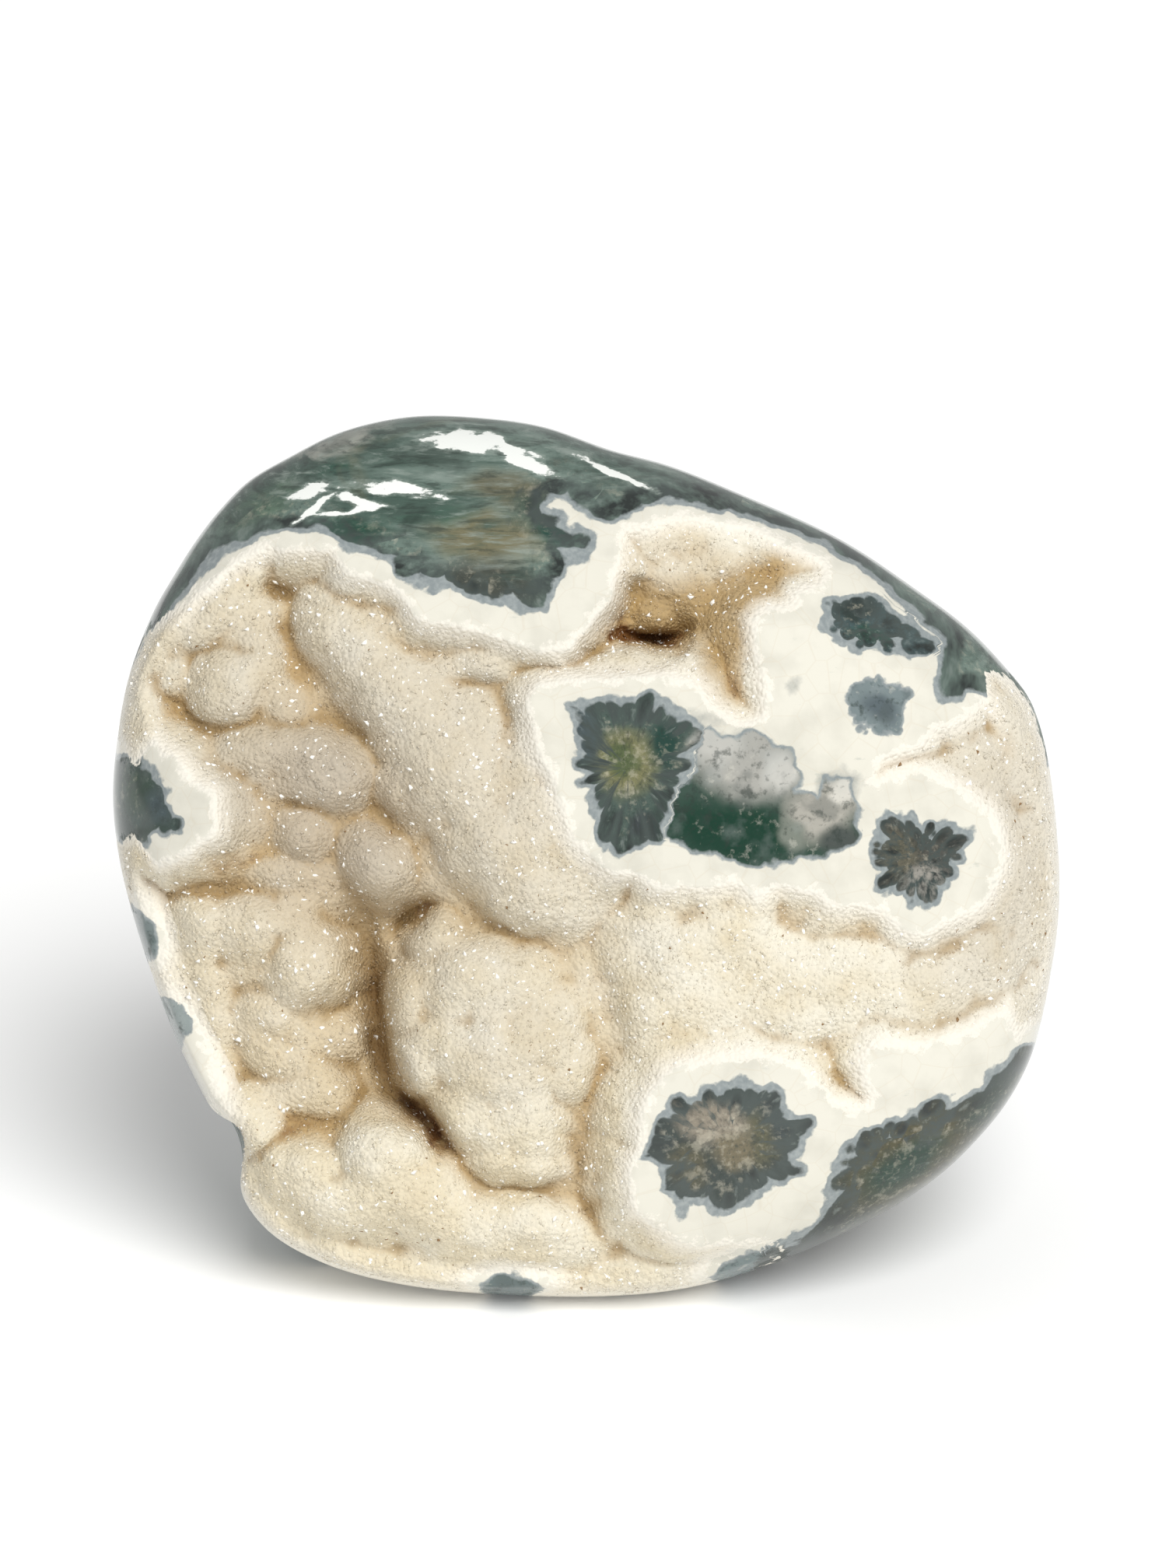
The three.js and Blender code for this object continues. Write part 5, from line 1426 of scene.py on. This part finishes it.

# %% [markdown]
# ## Floor, light and camera
# The stone stands on a plain near-white floor that glows a little, a painted glow that keeps its shadow
# pale and lights the stone a little from below. A large soft light hangs above and in front, and the white
# room fills the shadows. The camera looks square at the leaning face, so it stands 18 degrees above the
# level.

# %% Floor
FLOOR_WHITE = linear("fbfbfa")
FLOOR_GLOW = 0.1
FLOOR_METRES = 6
bpy.ops.object.select_all(action="DESELECT")
bpy.ops.mesh.primitive_plane_add(size=FLOOR_METRES)
floor = bpy.context.object
floor.name = "floor"
bpy.ops.object.mode_set(mode="EDIT")
bpy.ops.mesh.select_all(action="SELECT")
bpy.ops.mesh.subdivide(number_cuts=1)
bpy.ops.object.mode_set(mode="OBJECT")
floor_material = bpy.data.materials.new("white_floor_with_painted_glow")
floor_material.use_nodes = True
acrylic = floor_material.node_tree.nodes["Principled BSDF"]
acrylic.inputs["Base Color"].default_value = FLOOR_WHITE
acrylic.inputs["Roughness"].default_value = 0.9
# Painted glow: the floor's emission lightens the shadow on it, though nothing lights it from below.
acrylic.inputs["Emission Color"].default_value = FLOOR_WHITE
acrylic.inputs["Emission Strength"].default_value = FLOOR_GLOW
floor.data.materials.append(floor_material)
floor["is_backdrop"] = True
print("floor is", FLOOR_METRES, "m wide")

# %% Lights
ROOM_STRENGTH = 0.4
world = bpy.data.worlds.new("white_room")
bpy.context.scene.world = world
world.use_nodes = True
background = world.node_tree.nodes["Background"]
background.inputs["Color"].default_value = (1, 1, 1, 1)
background.inputs["Strength"].default_value = ROOM_STRENGTH
# A wide, far light from above, in front and to the right: (tilt from straight down, turn, width, strength).
# It is kept out of the reflections, as the photograph shows no bright spot on the polish.
KEY_TILT, KEY_TURN, KEY_WIDTH, KEY_STRENGTH = math.radians(44), math.radians(22), math.radians(36), 2.85
key = bpy.data.lights.new("key", "SUN")
key.angle = KEY_WIDTH
key.energy = KEY_STRENGTH
lamp = bpy.data.objects.new("key", key)
lamp.rotation_euler = (KEY_TILT, 0, KEY_TURN)
lamp.visible_glossy = False
bpy.context.collection.objects.link(lamp)
print("one wide key light and a white room")

# %% Camera
AIM_UP_FACE = 7.83
CAMERA_AWAY = 560
SENSOR_MM = 24
LENS_MM = 102.1
camera_place = lean_back(0.0, AIM_UP_FACE, CAMERA_AWAY) + stone_shift
camera_data = bpy.data.cameras.new("camera")
camera_data.sensor_fit = "HORIZONTAL"
camera_data.sensor_width = SENSOR_MM
camera_data.lens = LENS_MM
camera = bpy.data.objects.new("camera", camera_data)
camera.location = camera_place * MM
camera.rotation_euler = (math.pi / 2 - FACE_LEAN, 0, 0)
bpy.context.collection.objects.link(camera)
bpy.context.scene.camera = camera
bpy.context.scene.view_settings.view_transform = "Standard"
print("camera in mm:", camera_place)
